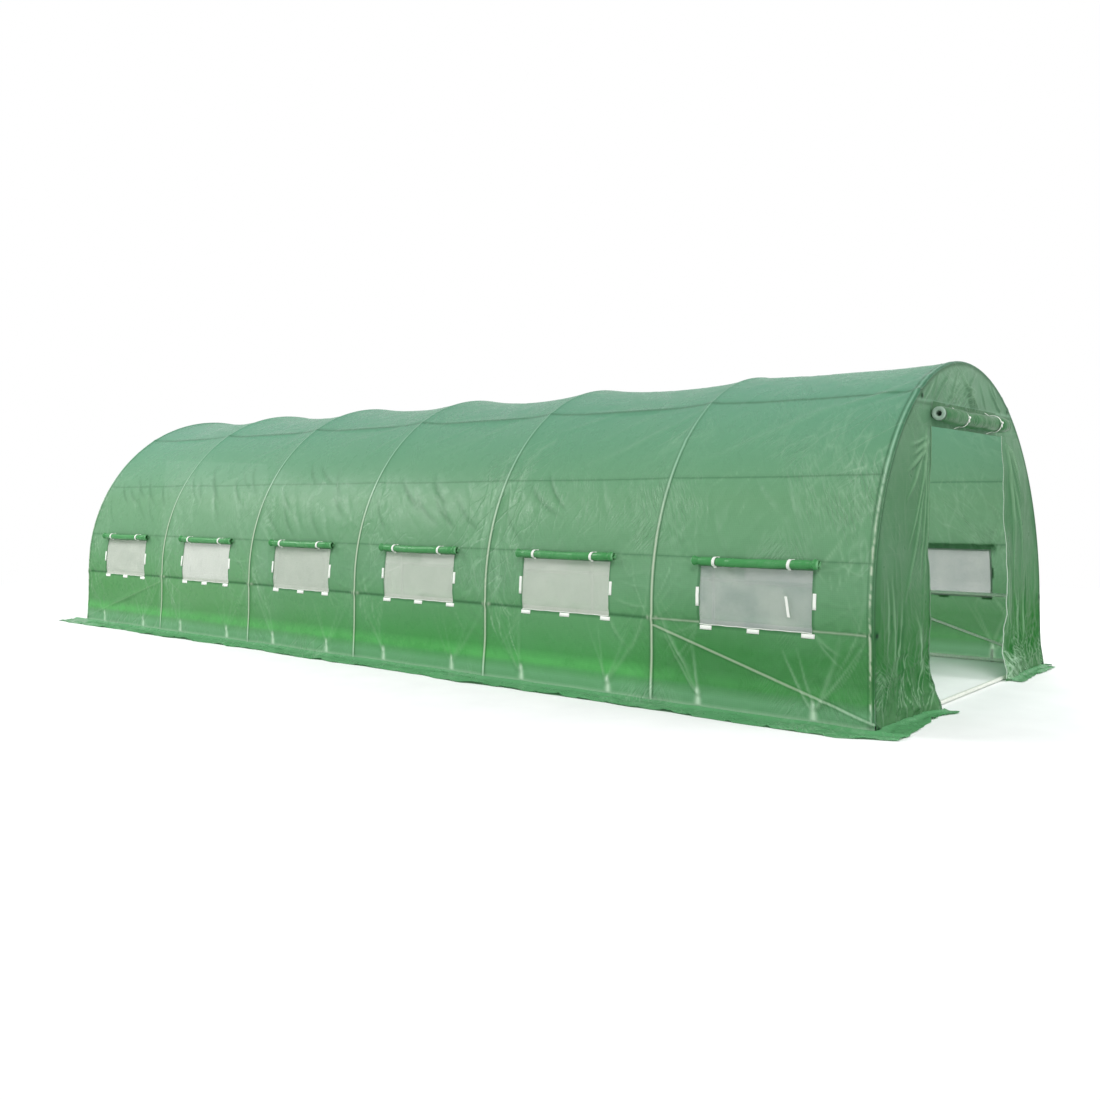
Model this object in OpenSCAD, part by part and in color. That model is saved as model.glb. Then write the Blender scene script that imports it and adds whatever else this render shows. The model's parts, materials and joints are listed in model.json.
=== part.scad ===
// Polytunnel greenhouse: hoops, purlins and clamps under a sheet cover with window flaps and doors.
// X runs across, Y along the tunnel with the photographed doorway at -Y, Z up. Millimetres.

/* [Tunnel] */
// Distance between the centre lines of the two end hoops
tunnel_length = 8000; // [6000:10:10000]
// Width over the cover
tunnel_width = 3000; // [2600:10:3600]
// Straight leg of a hoop below its half circle
leg_height = 550; // [520:10:800]

/* [Tubes] */
// Tube diameter of hoops, rails and purlins
tube_d = 25; // [20:0.5:32]
// Tube diameter of the corner braces
brace_d = 19; // [15:0.5:24]
// Wall of a snap clamp around a tube
clamp_wall = 4; // [3:0.5:6]
// Height of the side purlin, at the window sill
side_purlin_z = 495; // [440:5:510]
// Angle of the roof purlin up the half circle
roof_purlin_angle = 57.8; // [54:0.1:62]

/* [Cover] */
// Thickness of the cover sheets
cover_t = 3; // [2.5:0.5:5]
// Height of the seam above the windows
seam_low = 865; // [860:5:1000]
// Height of the shoulder seam
seam_high = 1330; // [1200:5:1450]
// Width of the skirt that lies on the ground
skirt_w = 220; // [120:5:320]

/* [Windows] */
// Width of a window opening
window_w = 690; // [500:5:800]
// Lower edge of a window opening
window_bottom = 485; // [470:5:520]
// Upper edge of a window opening
window_top = 815; // [780:5:830]
// Diameter of a rolled window flap
flap_roll_d = 50; // [40:1:60]
// Length of a rolled window flap
flap_roll_len = 775; // [600:5:900]

/* [Doors] */
// Width of a doorway
door_w = 1370; // [1100:10:1420]
// Width of the zip tape beside a doorway
zip_w = 16; // [10:1:40]
// Height of a doorway
door_top = 1615; // [1560:5:1640]
// Diameter of a rolled door
door_roll_d = 115; // [100:1:120]
// Length of a rolled door
door_roll_len = 1180; // [1000:10:1300]
// How far a rolled door lies to the left of the middle
door_roll_shift = 80; // [0:5:120]

/* [Hidden] */
$fn = 48;
arc_fn = 240;
bays = 6;
seat = 0.3;
cap_t = 3;
net_t = 1.5;
tab_t = 1.5;
skirt_t = 3;
flap_t = 4;
door_t = 5;
band_t = 2;
tie_w = 16;
cover_r = tunnel_width / 2;
inner_r = cover_r - cover_t;
hoop_r = inner_r - seat - tube_d / 2;
rail_r = hoop_r - tube_d - seat;
brace_r = inner_r - seat - brace_d / 2;
ring_d = tube_d + 2 * clamp_wall;
rail_z = ring_d / 2 + 1;
roof_purlin_z = leg_height + cover_r * sin(roof_purlin_angle);
header_z = leg_height + rail_r * sin(roof_purlin_angle) - ring_d / 2 - seat - tube_d / 2;
hoop_step = tunnel_length / bays;
end_y = tunnel_length / 2 + ring_d / 2 + seat;
face_y = end_y + cover_t;
rail_end = tunnel_length / 2 + ring_d / 2 - cap_t;
flap_roll_z = window_top + flap_roll_d / 2 + 4;
door_roll_z = door_top + door_roll_d / 2 + 10;
steel = [0.80, 0.83, 0.80];
plastic = [0.16, 0.20, 0.17];
sheet_green = [0.38, 0.66, 0.46];
panel_green = [0.33, 0.52, 0.42];
flap_green = [0.25, 0.60, 0.32];
net_grey = [0.72, 0.74, 0.73];
webbing = [0.94, 0.95, 0.93];

// Place on the arch at a given radius, for a given height on the cover
function lean(z) = z <= leg_height ? 0 : asin((z - leg_height) / cover_r);
function arch_x(r, z) = r * cos(lean(z));
function arch_z(r, z) = z <= leg_height ? z : leg_height + r * sin(lean(z));
function hoop_y(i) = -tunnel_length / 2 + (i - 1) * hoop_step;
function bay_y(i) = hoop_y(i) + hoop_step / 2;

module both_sides() {
    children();
    mirror([1, 0, 0]) children();
}

module both_ends() {
    children();
    mirror([0, 1, 0]) children();
}

module left_side() {
    mirror([1, 0, 0]) children();
}

module back_end() {
    mirror([0, 1, 0]) children();
}

// A bar along Y with its middle at the origin
module bar_y(len, d) {
    rotate([90, 0, 0]) cylinder(h = len, d = d, center = true);
}

// A bar along X with its middle at the origin
module bar_x(len, d) {
    rotate([0, 90, 0]) cylinder(h = len, d = d, center = true);
}

// A flat outline drawn in X and Z, drawn out along Y from y0 to y1
module along_y(y0, y1) {
    translate([0, y1, 0]) rotate([90, 0, 0]) linear_extrude(height = y1 - y0) children();
}

// Half circle on two straight legs
module arch_2d(r, foot = 0) {
    intersection() {
        translate([0, leg_height]) circle(r = r, $fn = arc_fn);
        translate([-r, leg_height]) square([2 * r, r]);
    }
    translate([-r, -foot]) square([2 * r, leg_height + foot]);
}

// Layer between two radii of the arch, on the +X side, between two heights
module layer_2d(r0, r1, z0, z1) {
    intersection() {
        difference() {
            arch_2d(r1);
            arch_2d(r0, 1);
        }
        translate([1, z0]) square([r1 + 10, z1 - z0]);
    }
}

// Frame

module hoop(i) {
    color(steel) translate([0, hoop_y(i), 0]) {
        both_sides() translate([hoop_r, 0, 0]) {
            cylinder(h = leg_height - 4, d = tube_d);
            translate([0, 0, leg_height - 4]) cylinder(h = 4, d = tube_d - 1.6);
        }
        translate([0, 0, leg_height]) rotate([90, 0, 0])
            rotate_extrude(angle = 180) translate([hoop_r, 0]) circle(d = tube_d);
    }
}

module long_tube(z) {
    color(steel) translate([arch_x(rail_r, z), 0, arch_z(rail_r, z)]) bar_y(2 * rail_end, tube_d);
}

module end_base_rail() {
    color(steel) difference() {
        translate([0, -tunnel_length / 2, rail_z]) bar_x(2 * (rail_r - 8), tube_d);
        both_sides() translate([rail_r, -tunnel_length / 2, rail_z]) bar_y(80, ring_d + 2 * seat);
    }
}

module header_bar() {
    half = sqrt(pow(hoop_r, 2) - pow(header_z - leg_height, 2));
    color(steel) translate([0, -tunnel_length / 2, 0]) difference() {
        translate([0, 0, header_z]) bar_x(2 * half - tube_d / 2, tube_d);
        translate([0, 0, leg_height]) rotate([90, 0, 0])
            rotate_extrude() translate([hoop_r, 0]) circle(d = tube_d + 2 * seat);
    }
}

// Straight brace against the cover, from under the sill clamp of the second hoop to the end hoop's foot
module brace() {
    low = rail_z + ring_d / 2 + brace_d;
    rise = side_purlin_z - ring_d / 2 - brace_d - low;
    run = hoop_step;
    color(steel) difference() {
        translate([brace_r, hoop_y(1), low]) rotate([-atan2(run, rise), 0, 0])
            cylinder(h = sqrt(run * run + rise * rise), d = brace_d);
        for (i = [1, 2])
            translate([hoop_r, hoop_y(i), 0]) cylinder(h = leg_height, d = tube_d + 2 * seat);
        for (i = [1, 2])
            translate([hoop_r, hoop_y(i) + (i == 1 ? -tube_d : tube_d), leg_height / 2])
                cube([3 * tube_d, 2 * tube_d, leg_height], center = true);
    }
}

// Two crossed snap rings: one round the hoop, open to the cover, and one round the rail
module cross_clamp(z) {
    color(plastic) translate([arch_x(rail_r, z), 0, arch_z(rail_r, z)]) rotate([0, -lean(z), 0])
        difference() {
            union() {
                bar_y(ring_d, ring_d);
                translate([hoop_r - rail_r, 0, 0]) cylinder(h = ring_d, d = ring_d, center = true);
            }
            bar_y(2 * ring_d, tube_d + 2 * seat);
            translate([hoop_r - rail_r, 0, 0])
                cylinder(h = 2 * ring_d, d = tube_d + 2 * seat, center = true);
            translate([hoop_r - rail_r + tube_d / 4, -ring_d, -ring_d])
                cube([ring_d, 2 * ring_d, 2 * ring_d]);
        }
}

module clamp_row(z) {
    for (i = [1 : bays + 1])
        translate([0, hoop_y(i), 0]) both_sides() cross_clamp(z);
}

module end_cap(z) {
    color(plastic) translate([arch_x(rail_r, z), -rail_end - cap_t / 2, arch_z(rail_r, z)])
        bar_y(cap_t, tube_d);
}

module hoop_1() { hoop(1); }
module hoop_2() { hoop(2); }
module hoop_3() { hoop(3); }
module hoop_4() { hoop(4); }
module hoop_5() { hoop(5); }
module hoop_6() { hoop(6); }
module hoop_7() { hoop(7); }
module left_base_rail() { left_side() long_tube(rail_z); }
module right_base_rail() { long_tube(rail_z); }
module front_base_rail() { end_base_rail(); }
module back_base_rail() { back_end() end_base_rail(); }
module left_side_purlin() { left_side() long_tube(side_purlin_z); }
module right_side_purlin() { long_tube(side_purlin_z); }
module left_roof_purlin() { left_side() long_tube(roof_purlin_z); }
module right_roof_purlin() { long_tube(roof_purlin_z); }
module front_header_bar() { header_bar(); }
module back_header_bar() { back_end() header_bar(); }
module left_braces() { left_side() both_ends() brace(); }
module right_braces() { both_ends() brace(); }
module base_clamps() { clamp_row(rail_z); }
module side_clamps() { clamp_row(side_purlin_z); }
module roof_clamps() { clamp_row(roof_purlin_z); }

module tube_end_caps() {
    both_ends() both_sides() {
        end_cap(rail_z);
        end_cap(side_purlin_z);
        end_cap(roof_purlin_z);
    }
}

// Cover

module wall_sheet() {
    color(sheet_green) difference() {
        along_y(-end_y, end_y) layer_2d(inner_r, cover_r, 0, seam_low);
        for (i = [1 : bays])
            translate([cover_r - 150, bay_y(i) - window_w / 2, window_bottom])
                cube([200, window_w, window_top - window_bottom]);
    }
}

module shoulder_sheet() {
    color(sheet_green) along_y(-end_y, end_y) layer_2d(inner_r, cover_r, seam_low, seam_high);
}

module left_wall_sheet() { left_side() wall_sheet(); }
module right_wall_sheet() { wall_sheet(); }
module left_shoulder_sheet() { left_side() shoulder_sheet(); }
module right_shoulder_sheet() { shoulder_sheet(); }

module roof_sheet() {
    color(sheet_green) along_y(-end_y, end_y) intersection() {
        difference() {
            translate([0, leg_height]) circle(r = cover_r, $fn = arc_fn);
            translate([0, leg_height]) circle(r = inner_r, $fn = arc_fn);
        }
        translate([-cover_r, seam_high]) square([2 * cover_r, cover_r]);
    }
}

module side_panel() {
    color(panel_green) along_y(-face_y, -end_y) intersection() {
        arch_2d(cover_r);
        translate([door_w / 2, 0]) square([cover_r, door_top]);
    }
}

module gable_panel() {
    color(panel_green) along_y(-face_y, -end_y) intersection() {
        translate([0, leg_height]) circle(r = cover_r, $fn = arc_fn);
        translate([-cover_r, door_top]) square([2 * cover_r, cover_r]);
    }
}

module front_left_panel() { left_side() side_panel(); }
module front_right_panel() { side_panel(); }
module front_gable_panel() { gable_panel(); }
module back_left_panel() { back_end() left_side() side_panel(); }
module back_right_panel() { back_end() side_panel(); }
module back_gable_panel() { back_end() gable_panel(); }

module side_skirt() {
    far_y = face_y + skirt_w;
    cut = skirt_w / 3;
    far_x = cover_r + skirt_w;
    color(panel_green) linear_extrude(height = skirt_t) polygon([
        [cover_r, -far_y], [far_x - cut, -far_y], [far_x, -far_y + cut],
        [far_x, far_y - cut], [far_x - cut, far_y], [cover_r, far_y]]);
}

module end_skirts() {
    color(panel_green) both_sides() translate([door_w / 2, -face_y - skirt_w, 0])
        cube([cover_r - door_w / 2, skirt_w, skirt_t]);
}

module left_skirt() { left_side() side_skirt(); }
module right_skirt() { side_skirt(); }
module front_skirts() { end_skirts(); }
module back_skirts() { back_end() end_skirts(); }

// Windows

module window_nets() {
    edge = 20;
    r1 = inner_r - seat;
    color(net_grey) for (i = [1 : bays])
        along_y(bay_y(i) - window_w / 2 - edge, bay_y(i) + window_w / 2 + edge)
            layer_2d(r1 - net_t, r1, window_bottom - edge, window_top + edge);
}

module left_window_nets() { left_side() window_nets(); }
module right_window_nets() { window_nets(); }

// Rolled sheet seen end on: half rings that shrink inwards, with a tail up the wall behind it
module roll_2d(d, t, turns, tail) {
    pitch = 2 * t;
    for (k = [0 : 2 * turns - 1]) {
        r = d / 2 - k * pitch / 2;
        shift = k % 2 == 0 ? 0 : pitch / 2;
        translate([d / 2 + shift, 0]) intersection() {
            difference() {
                circle(r = r);
                circle(r = r - t);
            }
            translate([-r, k % 2 == 0 ? -r : 0]) square([2 * r, r]);
        }
    }
    square([t, tail]);
}

// Band over a roll, from the wall above it round to the wall below it
module band_2d(d, t) {
    r = d / 2 + seat;
    translate([d / 2, 0]) intersection() {
        difference() {
            circle(r = r + band_t);
            circle(r = r);
        }
        translate([0, -r - band_t]) square([r + band_t, 2 * (r + band_t)]);
    }
    translate([t + seat, r]) square([d / 2 - t - seat, band_t]);
    translate([0, -r - band_t]) square([d / 2, band_t]);
}

// Frame of reference on the outside of the wall, out from it and up along it
module on_wall(z) {
    translate([arch_x(cover_r + seat, z), 0, arch_z(cover_r + seat, z)])
        rotate([0, -lean(z), 0]) children();
}

module window_rolls() {
    color(flap_green) for (i = [1 : bays])
        on_wall(flap_roll_z) along_y(bay_y(i) - flap_roll_len / 2, bay_y(i) + flap_roll_len / 2)
            roll_2d(flap_roll_d, flap_t, 2, flap_roll_d / 2 + 8);
}

module left_window_rolls() { left_side() window_rolls(); }
module right_window_rolls() { window_rolls(); }

// Hook and loop tabs round each window: three under the sill and one on each side
module window_tabs() {
    r0 = cover_r + seat;
    sill = window_bottom - 8;
    mid = (window_bottom + window_top) / 2;
    out = window_w / 2;
    color(webbing) both_sides() for (i = [1 : bays]) {
        for (y = [-out + 30, 0, out - 30])
            along_y(bay_y(i) + y - 30, bay_y(i) + y + 30) layer_2d(r0, r0 + tab_t, sill - 22, sill);
        for (y = [-out - 18, out + 18])
            along_y(bay_y(i) + y - 10, bay_y(i) + y + 10) layer_2d(r0, r0 + tab_t, mid - 45, mid + 45);
    }
}

// Doors

module on_front() {
    translate([-door_roll_shift, -face_y - seat, door_roll_z]) rotate([0, 0, -90]) children();
}

module door_roll() {
    half = door_roll_len / 2;
    color(flap_green) on_front() along_y(-half, half)
        roll_2d(door_roll_d, door_t, 3, header_z - door_roll_z + 5);
}

module front_door_roll() { door_roll(); }
module back_door_roll() { back_end() door_roll(); }

module roll_ties() {
    color(webbing) both_sides() for (i = [1 : bays])
        for (y = [-220, 240])
            on_wall(flap_roll_z) along_y(bay_y(i) + y - 11, bay_y(i) + y + 11)
                band_2d(flap_roll_d, flap_t);
    color(webbing) both_ends() on_front() for (x = [-0.18, 0.33] * door_roll_len)
        along_y(x - tie_w / 2, x + tie_w / 2) band_2d(door_roll_d, door_t);
}

module door_zips() {
    foot = skirt_t + seat;
    top = door_roll_z - door_roll_d / 2 - 4;
    color(webbing) both_ends() both_sides() translate([door_w / 2 + 2, -face_y - band_t, foot])
        cube([zip_w, band_t, top - foot]);
}

// Straps that hold the foot of the cover to the base rails
module ground_straps() {
    r = tube_d / 2 + seat;
    wall_x = inner_r - seat - rail_r;
    color(webbing) both_sides() for (i = [1 : bays])
        for (y = [-350, 350])
            translate([rail_r, 0, rail_z]) along_y(bay_y(i) + y - 12, bay_y(i) + y + 12) {
                intersection() {
                    difference() {
                        circle(r = r + band_t);
                        circle(r = r);
                    }
                    translate([-r - band_t, -r - band_t]) square([r + band_t, 2 * (r + band_t)]);
                }
                translate([0, r]) square([wall_x, band_t]);
                translate([0, -r - band_t]) square([wall_x, band_t]);
                translate([wall_x - band_t, r]) square([band_t, 55]);
            }
}

hoop_1();
hoop_2();
hoop_3();
hoop_4();
hoop_5();
hoop_6();
hoop_7();
left_base_rail();
right_base_rail();
front_base_rail();
back_base_rail();
left_side_purlin();
right_side_purlin();
left_roof_purlin();
right_roof_purlin();
front_header_bar();
back_header_bar();
left_braces();
right_braces();
base_clamps();
side_clamps();
roof_clamps();
tube_end_caps();
left_wall_sheet();
right_wall_sheet();
left_shoulder_sheet();
right_shoulder_sheet();
roof_sheet();
front_left_panel();
front_right_panel();
front_gable_panel();
back_left_panel();
back_right_panel();
back_gable_panel();
left_skirt();
right_skirt();
front_skirts();
back_skirts();
left_window_nets();
right_window_nets();
left_window_rolls();
right_window_rolls();
window_tabs();
roll_ties();
front_door_roll();
back_door_roll();
door_zips();
ground_straps();
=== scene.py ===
"""A walk-in polytunnel greenhouse: sheet cover over tube hoops, netted windows, rolled flaps and doors."""

import json
import math
from functools import reduce

import bpy
import numpy as np
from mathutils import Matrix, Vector


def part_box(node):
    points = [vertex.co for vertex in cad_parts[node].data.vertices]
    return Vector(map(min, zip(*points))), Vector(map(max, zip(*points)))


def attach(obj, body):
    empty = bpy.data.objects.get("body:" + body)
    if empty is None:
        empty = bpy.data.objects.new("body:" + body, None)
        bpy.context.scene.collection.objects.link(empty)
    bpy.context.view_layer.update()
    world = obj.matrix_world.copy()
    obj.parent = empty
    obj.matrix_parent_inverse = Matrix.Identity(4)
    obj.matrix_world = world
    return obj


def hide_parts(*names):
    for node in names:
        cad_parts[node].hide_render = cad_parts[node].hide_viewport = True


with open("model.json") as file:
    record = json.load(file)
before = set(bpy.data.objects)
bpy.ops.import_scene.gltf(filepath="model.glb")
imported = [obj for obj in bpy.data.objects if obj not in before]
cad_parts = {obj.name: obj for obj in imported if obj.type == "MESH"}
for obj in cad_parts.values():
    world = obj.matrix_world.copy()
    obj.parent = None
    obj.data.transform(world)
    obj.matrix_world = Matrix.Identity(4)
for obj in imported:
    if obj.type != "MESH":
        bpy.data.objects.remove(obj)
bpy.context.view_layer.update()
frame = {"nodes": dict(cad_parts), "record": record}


# Sizes in metres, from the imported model's boxes to a tenth of a millimetre

def metres(values):
    return [round(v, 4) for v in values]


def highest(node):
    return metres(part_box(node)[1])


def centre(node):
    low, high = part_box(node)
    return metres((low + high) / 2)


def extent(node):
    low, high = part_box(node)
    return metres(high - low)


HOOP_NODES = sorted(node for node in frame["nodes"] if node.startswith("hoop_"))
BAYS = len(HOOP_NODES) - 1
_, HALF, _ = centre(HOOP_NODES[-1])
STEP = 2 * HALF / BAYS
HOOPS = [-HALF + i * STEP for i in range(BAYS + 1)]
MIDS = [y + STEP / 2 for y in HOOPS[:-1]]

hoop_half, _, hoop_top = highest(HOOP_NODES[0])
LEG = round(hoop_top - hoop_half, 4)
COVER_R, _, SEAM_LOW = highest("right_wall_sheet")
_, _, SEAM_HIGH = highest("right_shoulder_sheet")
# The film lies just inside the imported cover's face
SKIN_R = COVER_R - 0.001
_, FACE_Y, _ = highest("back_gable_panel")
_, SKIN_Y, _ = centre("back_gable_panel")
SKIRT_W, _, _ = extent("right_skirt")
TUBE_R = extent("right_base_rail")[0] / 2
RAIL_X, _, RAIL_Z = centre("right_base_rail")
_, _, SILL_Z = centre("right_side_purlin")
_, _, HEADER_Z = centre("front_header_bar")
PURLIN_X, _, PURLIN_Z = centre("right_roof_purlin")
CAP_SPOTS = ((RAIL_X, RAIL_Z), (RAIL_X, SILL_Z), (PURLIN_X, PURLIN_Z))
# Where the cover passes over the roof purlin
OVER_PURLIN_Z = round(LEG + COVER_R * (PURLIN_Z - LEG) / math.hypot(PURLIN_X, PURLIN_Z - LEG), 4)

# A packed net reaches past its window all round
NET_EDGE = 0.02
net_low, net_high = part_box("right_window_nets")
WINDOW_W = round(2 * (net_high.y - NET_EDGE - MIDS[-1]), 4)
WINDOW_Z = metres((net_low.z + NET_EDGE, net_high.z - NET_EDGE))
FLAP_LEN = round(2 * (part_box("right_window_rolls")[1].y - MIDS[-1]), 4)
left_edge, _, DOOR_TOP = highest("front_left_panel")
DOOR_W = -2 * left_edge
DOOR_LEN, DOOR_D, _ = extent("front_door_roll")
DOOR_SHIFT, _, _ = centre("front_door_roll")

# Sizes that no box gives, as in the part's source
BRACE_Z = (0.053, 0.4595)
FLAP_D = 0.05
FLAP_Z = 0.844
FLAP_TIES = (-0.22, 0.24)
DOOR_Z = 1.6825
DOOR_TIES = (-0.2124, 0.3894)
STRAPS = (-0.35, 0.35)

# Sizes of the sheets alone: hems, rims, turns and gaps
NET_HEM = 0.015
RIM_R = SKIN_R - 0.009
FLAP_TURNS, FLAP_PITCH = 3.4, 0.0042
DOOR_TURNS, DOOR_PITCH = 6.3, 0.0056
TAIL_ROWS = 6
FLAP_LIFT = 0.003
DOOR_FACE = FACE_Y + 0.002
DOOR_TAIL = 0.004

# How strong the sag and the folds are in each bay
SAGS = (0.4, 1.0, 1.1, 0.95, 1.1, 0.9)
FOLD_SHARES = (1.25, 1.0, 0.8, 0.8, 0.8, 0.8)

# How high folds start at the straps, and where along the bay the rear and the fore strap's folds end
PULL_H = 0.075
STRAP_PULLS = ((0.63, 0.56, 0.40), (-0.62, -0.47, -0.24, -0.16))

# Width and thickness of webbing, and the size of the tabs
FLAP_TIE = (0.019, 0.0022)
DOOR_TIE = (0.011, 0.0024)
TIE_END = (0.009, 0.0018)
LOOSE_STRIP = (0.017, 0.0016)
ZIP_TAPE = (0.010, 0.0016)
GROUND_STRAP = (0.022, 0.0016)
SILL_TAB = (0.076, 0.024)
SIDE_TAB_W = 0.020

# Directions of the tunnel
ACROSS, ALONG = (1, 0, 0), (0, 1, 0)

# Spacing of the grid lines
WALL_GAP, SHOULDER_GAP, ROOF_GAP = 0.0110, 0.016, 0.0255
FRONT_GAP, REAR_GAP = 0.0110, 0.0165
PANEL_GAP = 0.0105
NET_GAPS = (0.016, 0.018)
SIDE_SKIRT_GAP, END_SKIRT_GAP = 0.025, 0.02

# Girth of the arch from foot to foot, and the words for the tunnel's sides and ends
GIRTH = 2 * LEG + math.pi * SKIN_R
SIDES = ((-1, "left"), (1, "right"))
ENDS = ((-1, "front"), (1, "back"))


# Numbers that look random but never change

def hash01(i, j, seed):
    n = (i.astype(np.int64) * 73856093) ^ (j.astype(np.int64) * 19349663) ^ (seed * 83492791)
    n = ((n ^ (n >> 13)) * 1274126177) & 0x7FFFFFFF
    return ((n ^ (n >> 15)) & 0xFFFF) / 65535.0


def noise(u, v, seed):
    """Smooth noise from -1 to 1 on a lattice of unit cells."""
    u, v = np.broadcast_arrays(u, v)
    i, j = np.floor(u), np.floor(v)
    a, b = u - i, v - j
    a = a * a * a * (a * (a * 6 - 15) + 10)
    b = b * b * b * (b * (b * 6 - 15) + 10)
    low = hash01(i, j, seed) * (1 - a) + hash01(i + 1, j, seed) * a
    high = hash01(i, j + 1, seed) * (1 - a) + hash01(i + 1, j + 1, seed) * a
    return 2 * (low * (1 - b) + high * b) - 1


def wave(x, seed):
    """Smooth noise along one direction."""
    return noise(x, 0 * x, seed)


def creases(u, v, seed, octaves=3):
    """Sharp-crested noise, 0 in the flats and up to 1 on the crests."""
    total, weight = 0, 0
    for k in range(octaves):
        f = 2 ** k
        wu = noise(u * f * 0.5 + 9, v * f * 0.5, seed + 31 + k) * 0.6
        wv = noise(u * f * 0.5, v * f * 0.5 + 5, seed + 47 + k) * 0.6
        total = total + (1 - np.abs(noise(u * f + wu, v * f + wv, seed + k))) ** 3 / f
        weight += 1 / f
    return total / weight


rng = np.random.default_rng(11)


def some(low, high):
    return float(rng.uniform(low, high))


# Small tools for arrays

def ramp(x, low, high):
    """A smooth rise from 0 at low to 1 at high."""
    t = np.clip((x - low) / (high - low), 0, 1)
    return t * t * (3 - 2 * t)


def bell(x, width):
    """A smooth bump, 1 at 0 and about a third at its width."""
    return np.exp(-(x / width) ** 2)


def most(*parts):
    return reduce(np.maximum, parts)


def points(*parts):
    """Coordinates spread over one grid or path, as an array of its points."""
    return np.stack(np.broadcast_arrays(*parts), axis=-1)


def unit(v):
    return v / np.linalg.norm(v, axis=1)[:, None]


def run_along(path):
    """Length along a path up to each of its points."""
    return np.concatenate([[0], np.cumsum(np.linalg.norm(np.diff(path, axis=0), axis=1))])


def left_of(u, v):
    """Unit normals on the left of a path in a plane."""
    way = unit(np.gradient(points(u, v), axis=0))
    return -way[:, 1], way[:, 0]


def nearest(y, places):
    """Distance from each y of a grid to the nearest of some places."""
    return np.min(np.abs(y[..., None] - np.array(places)), axis=2)


def lines(low, high, gap, marks=()):
    """Grid lines about gap apart from low to high, with a line at each mark."""
    base = list(np.linspace(low, high, max(2, round((high - low) / gap) + 1)))
    marks = [m for m in marks if low < m < high]
    base = [b for b in base if b in (low, high) or all(abs(b - m) > gap * 0.3 for m in marks)]
    return np.unique(np.round(base + marks, 6))


# The arch: girth runs from the left foot over the ridge to the right foot

def girth_of(z):
    return z if z <= LEG else LEG + SKIN_R * math.asin((z - LEG) / SKIN_R)


def section(s):
    """Place and outward normal on the arch at girth s, as x, z, nx, nz."""
    turn = np.clip((s - LEG) / SKIN_R, 0, math.pi)
    nx, nz = -np.cos(turn), np.sin(turn)
    below = np.where(s < LEG, s - LEG, np.where(s > GIRTH - LEG, GIRTH - LEG - s, 0))
    return SKIN_R * nx, LEG + SKIN_R * nz + below, nx, nz


def off_arch(s, y, d):
    """Points at a distance d out from the arch."""
    x, z, nx, nz = section(s)
    return points(x + nx * d, y, z + nz * d)


def girths(side, h):
    """Rising girths on one side of the arch for heights h up its wall."""
    return h if side < 0 else np.sort(GIRTH - h)


H_SILL = girth_of(SILL_Z)
H_LOW = girth_of(SEAM_LOW)
H_HIGH = girth_of(SEAM_HIGH)
H_ROOF = girth_of(OVER_PURLIN_Z)
H_WIN = (girth_of(WINDOW_Z[0]), girth_of(WINDOW_Z[1]))


# Folds in the cover

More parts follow.
